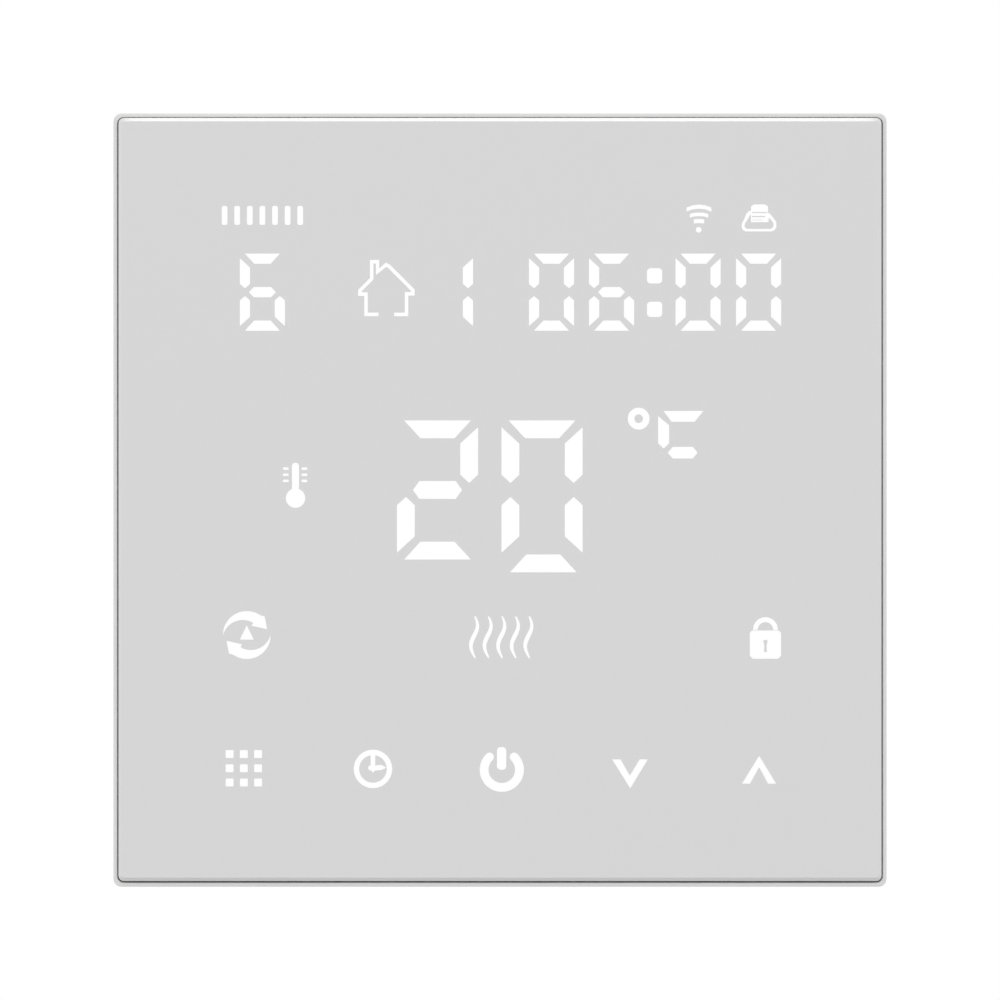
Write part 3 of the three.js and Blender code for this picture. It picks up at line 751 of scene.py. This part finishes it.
symbols = {
    "dayMark": {"width": 0.62, "height": 2.1, "pitch": 1.4, "centre": (-26.39, 31.6), "count": 7},
    "menu": {"side": 0.86, "pitch": 1.58, "centre": (-28.45, -29.8), "count": 3},
    "heat": {"pitch": 1.507, "count": 5, "centreX": 0.15, "width": 0.46, "endWidth": 0.16},
    "tick": {"width": 0.64, "height": 0.27, "pitchX": 2.08, "pitchZ": 0.68, "centre": (-22.76, 2.8)},
    "power": {"centre": (0.2, -29.96), "outer": 2.45, "inner": 1.48, "opening": 44},
}


def inkedGrid(name, loop, centre, countX, countZ, pitchX, pitchZ):
    piece = flatSolid(name, [loop], inkFront, panelFront + 0.1)
    repeated(piece, "ink", centre, countX, countZ, pitchX, pitchZ)
    return dress(piece, "front_unit", "ink", "diffuser_film")


def makeRepeatedSymbols():
    day = symbols["dayMark"]
    mark = roundedBox(-day["width"] / 2, day["width"] / 2, -day["height"] / 2, day["height"] / 2, 0.2)
    inkedGrid("weekdayMarks", mark, day["centre"], day["count"], 1, day["pitch"], 0)
    menu = symbols["menu"]
    half = menu["side"] / 2
    square = roundedBox(-half, half, -half, half, 0.05, 2)
    inkedGrid("menuKey", square, menu["centre"], menu["count"], menu["count"], menu["pitch"], menu["pitch"])
    tick = symbols["tick"]
    half = tick["width"] / 2
    line = roundedBox(-half, half, -tick["height"] / 2, tick["height"] / 2, 0.1, 3)
    inkedGrid("thermometerTicks", line, tick["centre"], 2, 3, tick["pitchX"], tick["pitchZ"])
    heat = symbols["heat"]
    path = []
    for i in range(25):
        t = i / 24
        path.append((0.37 * math.sin(2 * math.pi * (t * 1.02 + 0.03)), 2.31 - 4.62 * t))
    wave = strokeOutline(path, heat["width"], heat["endWidth"])
    inkedGrid("heatWaves", wave, (heat["centreX"], -15.25), heat["count"], 1, heat["pitch"], 0)


def makeSymbols():
    fan = []
    for width, high, low, bend in ((1.37, 32.8, 32.02, 0.33), (1.02, 31.93, 31.36, 0.17), (0.57, 31.2, 30.7, 0.05)):
        rise = [(-width, high - bend), (-width * 0.5, high - bend * 0.25), (0, high)]
        rise += [(width * 0.5, high - bend * 0.25), (width, high - bend)]
        fall = [(width, low), (width * 0.55, low + bend * 0.8), (0, low + bend),
                (-width * 0.55, low + bend * 0.8), (-width, low)]
        fan.append([(22.1 + x, z) for x, z in rise + fall])
    fan.append(circle((22.06, 30.0), 0.31, 20))
    inked("radioSymbol", fan)

    cloud = [(27.89, 32.62), (28.25, 32.82), (29.4, 32.82), (29.76, 32.62), (29.76, 31.95), (30.05, 31.7),
             (30.42, 31.25), (30.68, 30.85), (30.7, 30.3), (30.48, 29.97), (30.15, 29.83), (27.3, 29.83),
             (27.0, 29.97), (26.84, 30.3), (26.87, 30.7), (27.1, 31.15), (27.35, 31.75), (27.6, 32.05), (27.89, 32.12)]
    inside = [(27.42, 30.1), (30.08, 30.1), (30.38, 30.36), (30.38, 30.75), (30.05, 31.2), (29.84, 31.35),
              (29.8, 30.86), (27.87, 30.86), (27.87, 31.72), (27.72, 31.6), (27.45, 31.05), (27.18, 30.7),
              (27.15, 30.35)]
    gaps = [[(27.97, high), (right, high), (right, low), (27.97, low)]
            for high, low, right in ((31.99, 31.85, 29.7), (31.55, 31.4, 29.45), (31.14, 31.06, 29.2))]
    inked("cloudSymbol", [cloud, inside] + gaps)

    house = [(-13.5, 20.61), (-14.88, 20.61), (-14.88, 22.86), (-15.56, 22.86), (-15.56, 23.25),
             (-14.25, 24.58), (-14.25, 26.46), (-13.6, 26.46), (-13.6, 25.35), (-12.66, 26.12), (-12.36, 25.98),
             (-9.68, 23.3), (-9.68, 22.9), (-10.38, 22.9), (-10.38, 20.61), (-11.76, 20.61)]
    inked("homeSymbol", [strokeOutline(house, 0.38)])

    stem = arcPoints((-22.72, 3.75), 0.39, 0, 180, 8)
    bulb = arcPoints((-22.71, 0.2), 1.07, 111, 429, 30)
    inked("thermometerSymbol", [stem + bulb])


def makeAutoSymbol():
    centre = (-28.12, -15.0)
    outer = arcPoints(centre, 2.65, 181, 55, 24)
    head = [(-26.15, -12.93), (-25.87, -14.35), (-27.62, -13.95), (-27.42, -13.75)]
    inner = arcPoints((-28.56, -15.61), 2.29, 62, 161, 16)
    swoosh = outer + head + inner
    turned = [(2 * centre[0] - x, 2 * centre[1] - z) for x, z in swoosh]
    wedge = [(-28.12, -13.95), (-27.35, -15.5), (-28.9, -15.5)]
    inked("autoSymbol", [swoosh, turned, wedge])


def makeLockSymbol():
    middle = 29.48
    body = [(middle - 1.73, -14.75), (middle - 1.45, -14.5), (middle + 1.45, -14.5), (middle + 1.73, -14.75),
            (middle + 1.73, -17.3), (middle + 1.4, -17.63), (middle - 1.4, -17.63), (middle - 1.73, -17.3)]
    shackle = [(middle + 1.38 * math.cos(math.radians(a)), -14.42 + 1.4 * math.sin(math.radians(a)))
               for a in range(0, 181, 10)]
    shackle += arcPoints((middle, -14.42), 0.86, 180, 0, 18)
    keyhole = [(middle - 0.27, -15.62), (middle, -15.5), (middle + 0.27, -15.62), (middle + 0.13, -16.1),
               (middle + 0.17, -16.9), (middle - 0.17, -16.9), (middle - 0.13, -16.1)]
    inked("lockSymbol", [body, keyhole])
    inked("lockShackle", [shackle])


def makeKeySymbols():
    clock = (-14.11, -29.87)
    inked("clockRing", [circle(clock, 2.13), circle(clock, 1.54)])
    hands = [(-14.36, -28.2), (-13.86, -28.2), (-13.86, -29.5), (-13.2, -29.42), (-12.66, -29.72),
             (-13.2, -30.0), (-13.9, -30.05), (-14.1, -30.28), (-14.3, -30.05), (-14.62, -29.95), (-14.62, -29.55),
             (-14.36, -29.5)]
    inked("clockHands", [hands])
    power = symbols["power"]
    hub = power["centre"]
    middle = (power["outer"] + power["inner"]) / 2
    half = (power["outer"] - power["inner"]) / 2
    right = 90 - power["opening"]
    left = 90 + power["opening"]
    rightEnd, leftEnd = arcPoints(hub, middle, right, left, 1)
    ring = arcPoints(hub, power["outer"], left, right + 360, 44)
    ring += arcPoints(rightEnd, half, right, right + 180, 8)[1:-1]
    ring += arcPoints(hub, power["inner"], right + 360, left, 44)
    ring += arcPoints(leftEnd, half, left + 180, left + 360, 8)[1:-1]
    inked("powerRing", [ring])
    inked("powerBar", [roundedBox(-0.33, 0.69, -29.96, -27.46, 0.4)])
    inked("downKey", [[(12.47, -28.82), (13.38, -28.82), (14.42, -30.62), (15.52, -28.82), (16.4, -28.82),
                       (14.47, -32.02)]])
    inked("upKey", [[(28.78, -28.43), (30.66, -31.5), (29.78, -31.5), (28.78, -29.66), (27.76, -31.5),
                     (26.89, -31.5)]])


makeRepeatedSymbols()
makeSymbols()
makeAutoSymbol()
makeLockSymbol()
makeKeySymbols()
print("symbols made")


shells = {
    "frameEdge": 0.16,
    "clawEdge": 0.12,
    "plateEdge": 0.14,
    "lidEdge": 0.2,
}


def makeShells():
    frame = refinedCopy("frameShell", "front_frame", shells["frameEdge"], 3)
    dress(frame, "front_unit", "frame", "white_plastic", "front_frame")
    refineAll((
        ("snapClawTop", "snap_claw_top", shells["clawEdge"], "front_unit", "frame", "white_plastic"),
        ("snapClawBottom", "snap_claw_bottom", shells["clawEdge"], "front_unit", "frame", "white_plastic"),
    ))
    plate = refinedCopy("plateSheet", "mounting_plate", shells["plateEdge"], held=True)
    dress(plate, "root", "plate", "zinc_steel", "mounting_plate")
    lid = refinedCopy("lidSheet", "box_lid", shells["lidEdge"])
    dress(lid, "root", "box", "grey_plastic", "box_lid")


makeShells()
print("shells made")


rearBox = {
    "wall": 1.6,
    "front": -0.25,
    "ledge": 17.6,  # wall face to the back of the terminal ledge
    "back": 28,
    "halfWidth": 26,
    "top": 25,
    "bottom": -22.4,
    "ledgeTop": -11.2,
    "bayHalf": 19.25,
    "bayFront": 2.95,
    "lining": 1.2,
    "ventPitch": 4,
    "bossX": 21.2,
    "bossZ": 9.5,
    "bossBack": 9,
    "edge": 0.3,
    "slants": ((11.5, 0.59), (6.75, 0.54), (7.9, 0.46)),  # upper corner, toe and rise, each with its loss to inset
}


# the eight-sided outline moved in by inset; lowEdge cuts it off straight, bay leaves out the terminals
def boxOutline(inset, lowEdge=None, bay=None):
    side = rearBox["halfWidth"] - inset
    top = rearBox["top"] - inset
    corner, toe, rise = (length - inset * loss for length, loss in rearBox["slants"])
    upper = [(side, top - corner), (side - corner, top), (corner - side, top), (-side, top - corner)]
    if lowEdge is not None:
        return upper + [(-side, lowEdge), (side, lowEdge)]
    bottom = rearBox["bottom"] + inset
    leftFoot = [(-side, bottom + rise), (toe - side, bottom)]
    rightFoot = [(side - toe, bottom), (side, bottom + rise)]
    notch = []
    if bay:
        half, height = bay
        if half < side - toe:
            notch = [(-half, bottom), (-half, height), (half, height), (half, bottom)]
        else:
            low = bottom + rise * (half - side + toe) / toe
            notch = [(-half, low), (-half, height), (half, height), (half, low)]
            return upper + leftFoot[:1] + notch + rightFoot[1:]
    return upper + leftFoot + notch + rightFoot


def makeRearBox():
    size = rearBox
    wall = size["wall"]
    front = size["front"]
    bayFront = size["bayFront"]
    ledge = size["ledge"]
    back = size["back"]
    top = size["ledgeTop"]
    bay = (size["bayHalf"], top)
    lined = (size["bayHalf"] + size["lining"], top + size["lining"])
    box = flatSolid("boxShell", [boxOutline(0)], front, bayFront)
    combine(box, flatSolid("middle", [boxOutline(0, bay=bay)], bayFront - 0.01, ledge), "UNION")
    combine(box, flatSolid("deep", [boxOutline(0, top)], ledge - 0.01, back), "UNION")
    combine(box, flatSolid("mouth", [boxOutline(wall)], -1, bayFront))
    combine(box, flatSolid("room", [boxOutline(wall, bay=lined)], bayFront - 0.01, ledge - wall))
    combine(box, flatSolid("deepRoom", [boxOutline(wall, top + wall)], ledge - wall - 0.01, back - wall))
    for i in range(6):
        x = (i - 2.5) * size["ventPitch"]
        combine(box, flatSolid("vent", [roundedBox(x - 0.7, x + 0.7, 8, 18, 0.6, 4)], back - 3, back + 1))
    z = size["bossZ"]
    bossBack = size["bossBack"]
    for side in (-1, 1):
        x = side * size["bossX"]
        web = (x, side * (size["halfWidth"] - wall / 2))
        boss = flatSolid("boss", [circle((x, z), 2.6, 28)], front, bossBack)
        combine(boss, boxSolid("web", min(web), max(web), front, bossBack, z - 1, z + 1), "UNION")
        combine(box, boss, "UNION")
        combine(box, flatSolid("pilot", [circle((x, z), 1.1, 20)], -1, 7.8))
    welded(box.data, 3e-5, flat=True)
    dress(roundEdges(box, size["edge"]), "root", "box", "grey_plastic", "rear_box")


makeRearBox()
print("rear box made")


# screws, each drawn once with its head towards the room and the seat of the head at zero
screws = {
    "board": {"head": 1.9, "rise": 1.2, "shank": 0.8, "length": 4.2, "pitch": 0.5, "cut": 0.1, "drive": "cross"},
    "lid": {"head": 2.3, "rise": 1.3, "shank": 0.95, "length": 9.5, "pitch": 0.7, "cut": 0.12, "drive": "cross"},
    "wall": {"head": 3.4, "rise": 2.1, "shank": 1.7, "length": 25, "pitch": 0.8, "cut": 0.3, "drive": "cross"},
    "terminal": {"head": 2.15, "rise": 1.75, "shank": 1.4, "length": 4.8, "pitch": 0.5, "cut": 0.12, "drive": "slot"},
}


def drawScrew(kind):
    size = screws[kind]
    head = size["head"]
    rise = size["rise"]
    shank = size["shank"]
    length = size["length"]
    plain = 0.4  # under the head, without a thread
    tip = shank * 0.8

    def threadAt(turn, y):
        if y < plain or y > length - tip * 0.3:
            return 0
        phase = (y / size["pitch"] - turn / (2 * math.pi)) % 1
        return -size["cut"] * (1 - abs(2 * phase - 1))

    if size["drive"] == "slot":
        profile = [(0, -rise), (head - 0.3, -rise), (head - 0.08, -rise + 0.1), (head, -rise + 0.32)]
    else:
        profile = [(0, -rise)]
        for i in range(1, 9):
            turn = math.radians(90 * i / 9)
            profile.append((head * math.sin(turn) ** 0.8, -rise * (0.22 + 0.78 * math.cos(turn) ** 0.7)))
        profile.append((head, -rise * 0.2))
    profile += [(head, -0.06), (head - 0.06, 0), (shank, 0), (shank, plain)]
    steps = int((length - tip - plain) / size["pitch"] * 6)
    for i in range(1, steps + 1):
        profile.append((shank, plain + (length - tip - plain) * i / steps))
    profile += [(shank * 0.72, length - tip * 0.35), (shank * 0.3, length - 0.04), (0, length)]
    screw = turnedSolid(kind + "Screw", profile, 24, threadAt)
    arm = head * 0.47
    wing = head * 0.115
    if size["drive"] == "slot":
        combine(screw, boxSolid("slot", -0.35, 0.35, -rise - 1, -rise * 0.49, -3, 3))
    else:
        combine(screw, boxSolid("acrossSlot", -arm, arm, -rise - 1, -rise * 0.45, -wing, wing))
        combine(screw, boxSolid("uprightSlot", -wing, wing, -rise - 1, -rise * 0.44, -arm, arm))
    return smoothRound(screw, 24)


# copies of one drawn screw; turnedOver ones have their heads towards the wall
def makeScrews(kind, words, body, turnedOver=False):
    pattern = drawScrew(kind)
    rise = screws[kind]["rise"]
    for word in words:
        node = kind + "_screw_" + word
        low, high, centre = boxOf(node)
        seat = high.y - rise if turnedOver else low.y + rise
        piece = moved(copyOf(pattern, kind + "Screw" + word.title()), centre.x, seat, centre.z, turnedOver)
        dress(piece, body or node, "plated", "plated_steel", node)
    bpy.data.objects.remove(pattern)


makeScrews("board", "1234", "front_unit", True)
makeScrews("lid", ("left", "right"), "root")
makeScrews("wall", ("left", "right"), "root")
makeScrews("terminal", "123456", None, True)  # each turns on its own body
print("screws made")


# wire wound about Y, its turns closer together at both ends
def springTree(name):
    tree, given = newTree(name, {"Geometry": "Geometry", "Coil Radius": "Float", "Turns": "Float",
                                 "Rise": "Float", "Wire Radius": "Float", "Material": "Material"})
    rise = given.outputs["Rise"]
    radius = given.outputs["Coil Radius"]
    coil = addNode(tree, "GeometryNodeCurveSpiral", {
        "Resolution": 28, "Rotations": given.outputs["Turns"], "Start Radius": radius, "End Radius": radius,
        "Height": rise,
    })
    position = tree.nodes.new("GeometryNodeInputPosition")
    split = addNode(tree, "ShaderNodeSeparateXYZ", {0: position.outputs[0]})
    along = worked(tree, "MULTIPLY", worked(tree, "DIVIDE", split.outputs["Z"], rise), math.pi)
    eased = worked(tree, "MULTIPLY_ADD", worked(tree, "COSINE", along), -0.5, 0.5)
    level = worked(tree, "MULTIPLY", worked(tree, "MULTIPLY", eased, rise), -1)
    place = addNode(tree, "ShaderNodeCombineXYZ", {"X": split.outputs["X"], "Y": level, "Z": split.outputs["Y"]})
    settle = addNode(tree, "GeometryNodeSetPosition", {"Geometry": coil.outputs[0], "Position": place.outputs[0]})
    section = addNode(tree, "GeometryNodeCurvePrimitiveCircle", {
        "Resolution": 10, "Radius": given.outputs["Wire Radius"],
    })
    sweep = addNode(tree, "GeometryNodeCurveToMesh", {
        "Curve": settle.outputs[0], "Profile Curve": section.outputs[0], "Fill Caps": True,
    })
    return endTree(tree, sweep.outputs[0], given)


touchSpring = {"coilRadius": 3.2, "turns": 3.5, "wireRadius": 0.24, "level": -29.8}


def makeTouchSprings():
    tree = springTree("woundSpring")
    wire = touchSpring["wireRadius"]
    for key in touchKeys:
        node = "touch_spring_" + key
        low, high, centre = boxOf(node)
        piece = addObject("touchSpring" + key.title(), bpy.data.meshes.new("spring"))
        runTree(piece, tree, {
            "Coil Radius": touchSpring["coilRadius"] * mm,
            "Turns": touchSpring["turns"],
            "Rise": (high.y - low.y - 2 * wire) * mm,
            "Wire Radius": wire * mm,
            "Material": finishes["spring"],
        })
        moved(piece, centre.x, high.y - wire, touchSpring["level"])
        welded(piece.data, 1e-7, outward=True)
        dress(smoothRound(piece), "front_unit", "spring", "spring_steel", node)


makeTouchSprings()
print("touch springs made")


boardLevel = boxOf("control_board")[1].y  # the side that faces the wall
chipParts = {
    "leg": {"out": 1.0, "wide": 0.34, "tall": 0.75, "thick": 0.16},
    "resistor": {"long": 1.1, "wide": 0.62, "tall": 0.42, "end": 0.24},
    "mainChip": {"perSide": 11, "pitch": 0.8},
    "touchChip": {"perSide": 7, "pitch": 1.27},
    # name, centre, counts and pitches along X and Z, finish and slot of the middle
    "rows": (
        ("driverResistors", (0, 16), 12, 1, 2.1, 0, "chip", "chip_epoxy"),
        ("lowerResistors", (-12, -19.5), 6, 1, 2.0, 0, "chip", "chip_epoxy"),
        ("touchResistors", (11, -24.5), 5, 1, 2.0, 0, "chip", "chip_epoxy"),
        ("filterCapacitors", (27, 12), 3, 2, 2.6, 2.4, "tan", "ceramic"),
        ("edgeCapacitors", (-30, 6), 2, 4, 2.6, 2.4, "tan", "ceramic"),
    ),
}


# one gull-wing leg that runs out along +Z from its chip, centred on X
def drawLeg(name):
    leg = chipParts["leg"]
    out = leg["out"]
    tall = leg["tall"]
    thick = leg["thick"]
    base = boardLevel + 0.03
    side = [(-0.05, tall), (out * 0.35, tall), (out * 0.6, thick), (out, thick), (out, 0), (out * 0.5, 0),
            (out * 0.25, tall - thick), (-0.05, tall - thick)]
    bm = bmesh.new()
    rings = []
    for x in (-leg["wide"] / 2, leg["wide"] / 2):
        rings.append([bm.verts.new((x * mm, (base + y) * mm, z * mm)) for z, y in side])
    bm.faces.new(rings[0])
    bm.faces.new(rings[1][::-1])
    for i in range(len(side)):
        j = (i + 1) % len(side)
        bm.faces.new((rings[0][i], rings[1][i], rings[1][j], rings[0][j]))
    return pieceFrom(bm, name)


def makeLegs(name, node, size, turns):
    low, high, centre = boxOf(node)
    half = (high - low) / 2
    for turn in turns:
        row = repeated(drawLeg(name + str(turn)), "solder", (0, 0), size["perSide"], 1, size["pitch"], 0)
        moved(row, z=half.z if turn % 180 == 0 else half.x)
        row.data.transform(Matrix.Rotation(math.radians(turn), 4, "Y"))
        moved(row, centre.x, 0, centre.z)
        dress(row, "front_unit", "solder", "plated_steel")


def makeChipRow(name, centre, countX, countZ, pitchX, pitchZ, body, slot):
    size = chipParts["resistor"]
    base = boardLevel + 0.04
    top = base + size["tall"]
    long = size["long"] / 2
    wide = size["wide"] / 2
    end = size["end"]
    grid = (centre, countX, countZ, pitchX, pitchZ)
    middle = roundEdges(boxSolid(name, -wide, wide, base, top, end - long, long - end), 0.04, 1)
    dress(repeated(middle, body, *grid), "front_unit", body, slot)
    wide += 0.02
    for word, low in (("Upper", long - end + 0.01), ("Lower", -long)):
        cap = boxSolid(name + word, -wide, wide, base - 0.02, top + 0.03, low, low + end - 0.01)
        dress(repeated(roundEdges(cap, 0.06, 1), "solder", *grid), "front_unit", "solder", "plated_steel")


def makeBoardParts():
    refineAll((
        ("mainChipBody", "main_chip", 0.18, "front_unit", "chip", "chip_epoxy"),
        ("touchChipBody", "touch_chip", 0.16, "front_unit", "chip", "chip_epoxy"),
        ("shieldCan", "wifi_shield", 0.35, "front_unit", "plated", "plated_steel"),
        ("radioBoard", "wifi_board", 0.06, "front_unit", "blueBoard", "blue_laminate"),
        ("controlBoard", "control_board", 0.05, "front_unit", "board", "board_laminate"),
        ("socketBody", "header_socket", 0.15, "front_unit", "black", "black_plastic"),
    ))
    makeLegs("mainChipLegs", "main_chip", chipParts["mainChip"], (0, 90, 180, 270))
    makeLegs("touchChipLegs", "touch_chip", chipParts["touchChip"], (0, 180))
    for row in chipParts["rows"]:
        makeChipRow(*row)


makeBoardParts()
print("board parts made")


# the buzzer with its sound hole, the back-up cell in its clip, the sensor bead
smallParts = {
    "buzzerHole": 1.1,
    "cellEdge": 0.35,
    "clipWidth": 3.4,
    "clipThickness": 0.25,
    "beadRadius": 1.2,
}


def makeSmallParts():
    low, high, centre = boxOf("buzzer")
    body = roundedBox(low.x, high.x, low.z, high.z, 0.9)
    buzzer = roundEdges(flatSolid("buzzerBody", [body], low.y, high.y), 0.18)
    hole = circle((centre.x, centre.z), smallParts["buzzerHole"])
    combine(buzzer, flatSolid("soundHole", [hole], high.y - 2.5, high.y + 1))
    dress(evenShading(smoothRound(buzzer, 40)), "front_unit", "black", "black_plastic", "buzzer")

    low, high, centre = boxOf("backup_cell")
    radius = (high.x - low.x) / 2
    edge = smallParts["cellEdge"]
    front = low.y
    back = high.y - smallParts["clipThickness"] - 0.02
    profile = [(0, front), (radius - 0.9, front), (radius - 0.5, front + 0.2), (radius - 0.4, front + 0.55),
               (radius - 0.02, front + 0.6), (radius, front + 0.7), (radius, back - edge),
               (radius - edge * 0.3, back - edge * 0.3), (radius - edge, back), (0, back)]
    cell = smoothRound(moved(turnedSolid("cellCan", profile, 64), centre.x, 0, centre.z), 40)
    dress(cell, "front_unit", "plated", "plated_steel", "backup_cell")
    half = smallParts["clipWidth"] / 2
    reach = radius - 0.15
    clip = boxSolid("cellClip", centre.x - half, centre.x + half, back + 0.02, high.y,
                    centre.z - reach, centre.z + reach)
    dress(roundEdges(clip, 0.08, 2), "front_unit", "brass", "nickel_brass")

    low, high, centre = boxOf("room_sensor")
    bead = smallParts["beadRadius"]
    centre = Vector((centre.x, high.y - bead, low.z + bead))
    profile = [(bead * math.sin(math.radians(a)), -bead * math.cos(math.radians(a))) for a in range(0, 181, 9)]
    profile[0] = (0, -bead)
    profile[-1] = (0, bead)
    drop = smoothRound(moved(turnedSolid("sensorBead", profile, 32), *centre), 60)
    dress(drop, "front_unit", "black", "chip_epoxy", "room_sensor")
    level = centre.y
    for word, side in (("Left", -0.9), ("Right", 0.9)):
        x = centre.x + side
        wire = boxSolid("sensorWire" + word, x - 0.2, x + 0.2, level - 0.2, level + 0.2, centre.z + 0.55, -35)
        dress(roundEdges(wire, 0.12, 2), "front_unit", "solder", "plated_steel")
        foot = boxSolid("sensorFoot" + word, x - 0.2, x + 0.2, boardLevel + 0.05, level - 0.22, -35.4, -35)
        dress(roundEdges(foot, 0.12, 2), "front_unit", "solder", "plated_steel")


makeSmallParts()
print("small parts made")


header = {"pins": 8, "pitch": 2.0, "pinWidth": 0.5, "pinTip": -3.9, "front": -0.55, "halfWidth": 8.4, "halfTall": 2}


def makeHeader():
    low, high, centre = boxOf("pin_header")
    wide = header["halfWidth"]
    tall = header["halfTall"]
    front = header["front"]
    body = boxSolid("headerBody", -wide, wide, front, high.y, centre.z - tall, centre.z + tall)
    dress(roundEdges(body, 0.15, 2), "root", "black", "black_plastic", "pin_header")
    half = header["pinWidth"] / 2
    pin = roundEdges(boxSolid("headerPins", -half, half, header["pinTip"], front - 0.02, -half, half), 0.1, 2)
    repeated(pin, "gold", (0, centre.z), header["pins"], 1, header["pitch"], 0)
    dress(pin, "root", "gold", "nickel_brass")


makeHeader()
print("header made")


terminals = {
    "count": 6,
    "pitch": 6.35,
    "axisZ": -17.3,
    "boxEdge": 0.14,
    "screwHole": 1.7,
    "screwWell": 2.4,
    "wellFront": 14.6,
    # left, right, front, back, low and high of one terminal's parts
    "cageRoom": (-2.35, 2.35, 4.6, 14.1, -20.4, -14.2),
    "contactBar": (-1.5, 1.5, 8.6, 9.75, -20.3, -14.22),
    "numberHeight": 2.1,
    "numberZ": -13.1,
    "numberProud": 0.12,
}


def makeTerminals():
    low, high, centre = boxOf("terminal_block")
    axis = (0, terminals["axisZ"])
    grid = ((0, 0), terminals["count"], 1, terminals["pitch"], 0)
    housing = boxSolid("terminalHousing", low.x, high.x, low.y, high.y, low.z, high.z)
    housing = roundEdges(housing, terminals["boxEdge"], 2)
    for cutter in (
        boxSolid("cageRoom", *terminals["cageRoom"]),
        flatSolid("screwHole", [circle(axis, terminals["screwHole"], 20)], 13, 15),
        flatSolid("screwWell", [circle(axis, terminals["screwWell"], 32)], terminals["wellFront"], high.y + 1),
        boxSolid("wireEntry", -1.8, 1.8, 5.4, 9, low.z - 1, -20),
    ):
        combine(housing, repeated(cutter, "green", *grid))
    dress(evenShading(smoothRound(housing, 50)), "root", "green", "terminal_green", "terminal_block")
    for i in range(1, terminals["count"] + 1):
        node = "clamp_cage_" + str(i)
        dress(refinedCopy("clampCage" + str(i), node, 0.12), node, "brass", "nickel_brass", node)
    bar = roundEdges(boxSolid("contactBars", *terminals["contactBar"]), 0.1, 2)
    dress(repeated(bar, "brass", *grid), "root", "brass", "nickel_brass")


# a plain number in the default letters, read from behind, standing a little proud
def makeNumbers():
    back = boxOf("terminal_block")[1].y
    proud = terminals["numberProud"] / 2
    upright = Matrix.Rotation(math.radians(180), 4, "Z") @ Matrix.Rotation(math.radians(90), 4, "X")
    for i in range(terminals["count"]):
        x = (i - (terminals["count"] - 1) / 2) * terminals["pitch"]
        line = bpy.data.curves.new("number", "FONT")
        line.body = str(i + 1)
        line.size = terminals["numberHeight"] * 1.37 * mm  # the letters' size for that height
        line.extrude = proud * mm
        line.align_x = "CENTER"
        line.align_y = "CENTER"
        spot = Matrix.Translation(Vector((x, back + proud + 0.01, terminals["numberZ"])) * mm)
        dress(solidOf("terminalNumber" + str(i + 1), line, spot @ upright), "root", "film", "white_plastic")


makeTerminals()
makeNumbers()
print("terminals made")


# parts inside the rear box
powerParts = {"relayEdge": 0.3, "coreEdge": 0.25}


def makePowerParts():
    refineAll((
        ("relayCover", "relay_case", powerParts["relayEdge"], "root", "relay", "relay_blue"),
        ("transformerCore", "transformer_core", powerParts["coreEdge"], "root", "ferrite", "ferrite"),
        ("powerBoard", "power_board", 0.05, "root", "board", "board_laminate"),
        ("relayFrame", "relay_yoke", 0.1, "root", "iron", "soft_iron"),
        ("armaturePlate", "relay_armature", 0.06, "relay_armature", "iron", "soft_iron"),
    ))
    for node, name in (("capacitor_large", "largeCan"), ("capacitor_small", "smallCan")):
        low, high, centre = boxOf(node)
        radius = (high.x - low.x) / 2
        foot = low.y
        top = high.y
        profile = [(0, foot), (radius * 0.9, foot), (radius, foot + 0.5), (radius, foot + 1.5),
                   (radius - 0.3, foot + 1.8), (radius - 0.35, foot + 2.0), (radius - 0.3, foot + 2.2),
                   (radius, foot + 2.5), (radius, top - 0.5), (radius - 0.15, top - 0.15), (radius - 0.5, top),
                   (radius - 0.9, top), (radius - 1.0, top - 0.2), (0, top - 0.2)]
        can = moved(turnedSolid(name, profile, 48), centre.x, 0, centre.z)
        dress(smoothRound(can, 40), "root", "sleeve", "capacitor_sleeve", node)


makePowerParts()
print("power parts made")
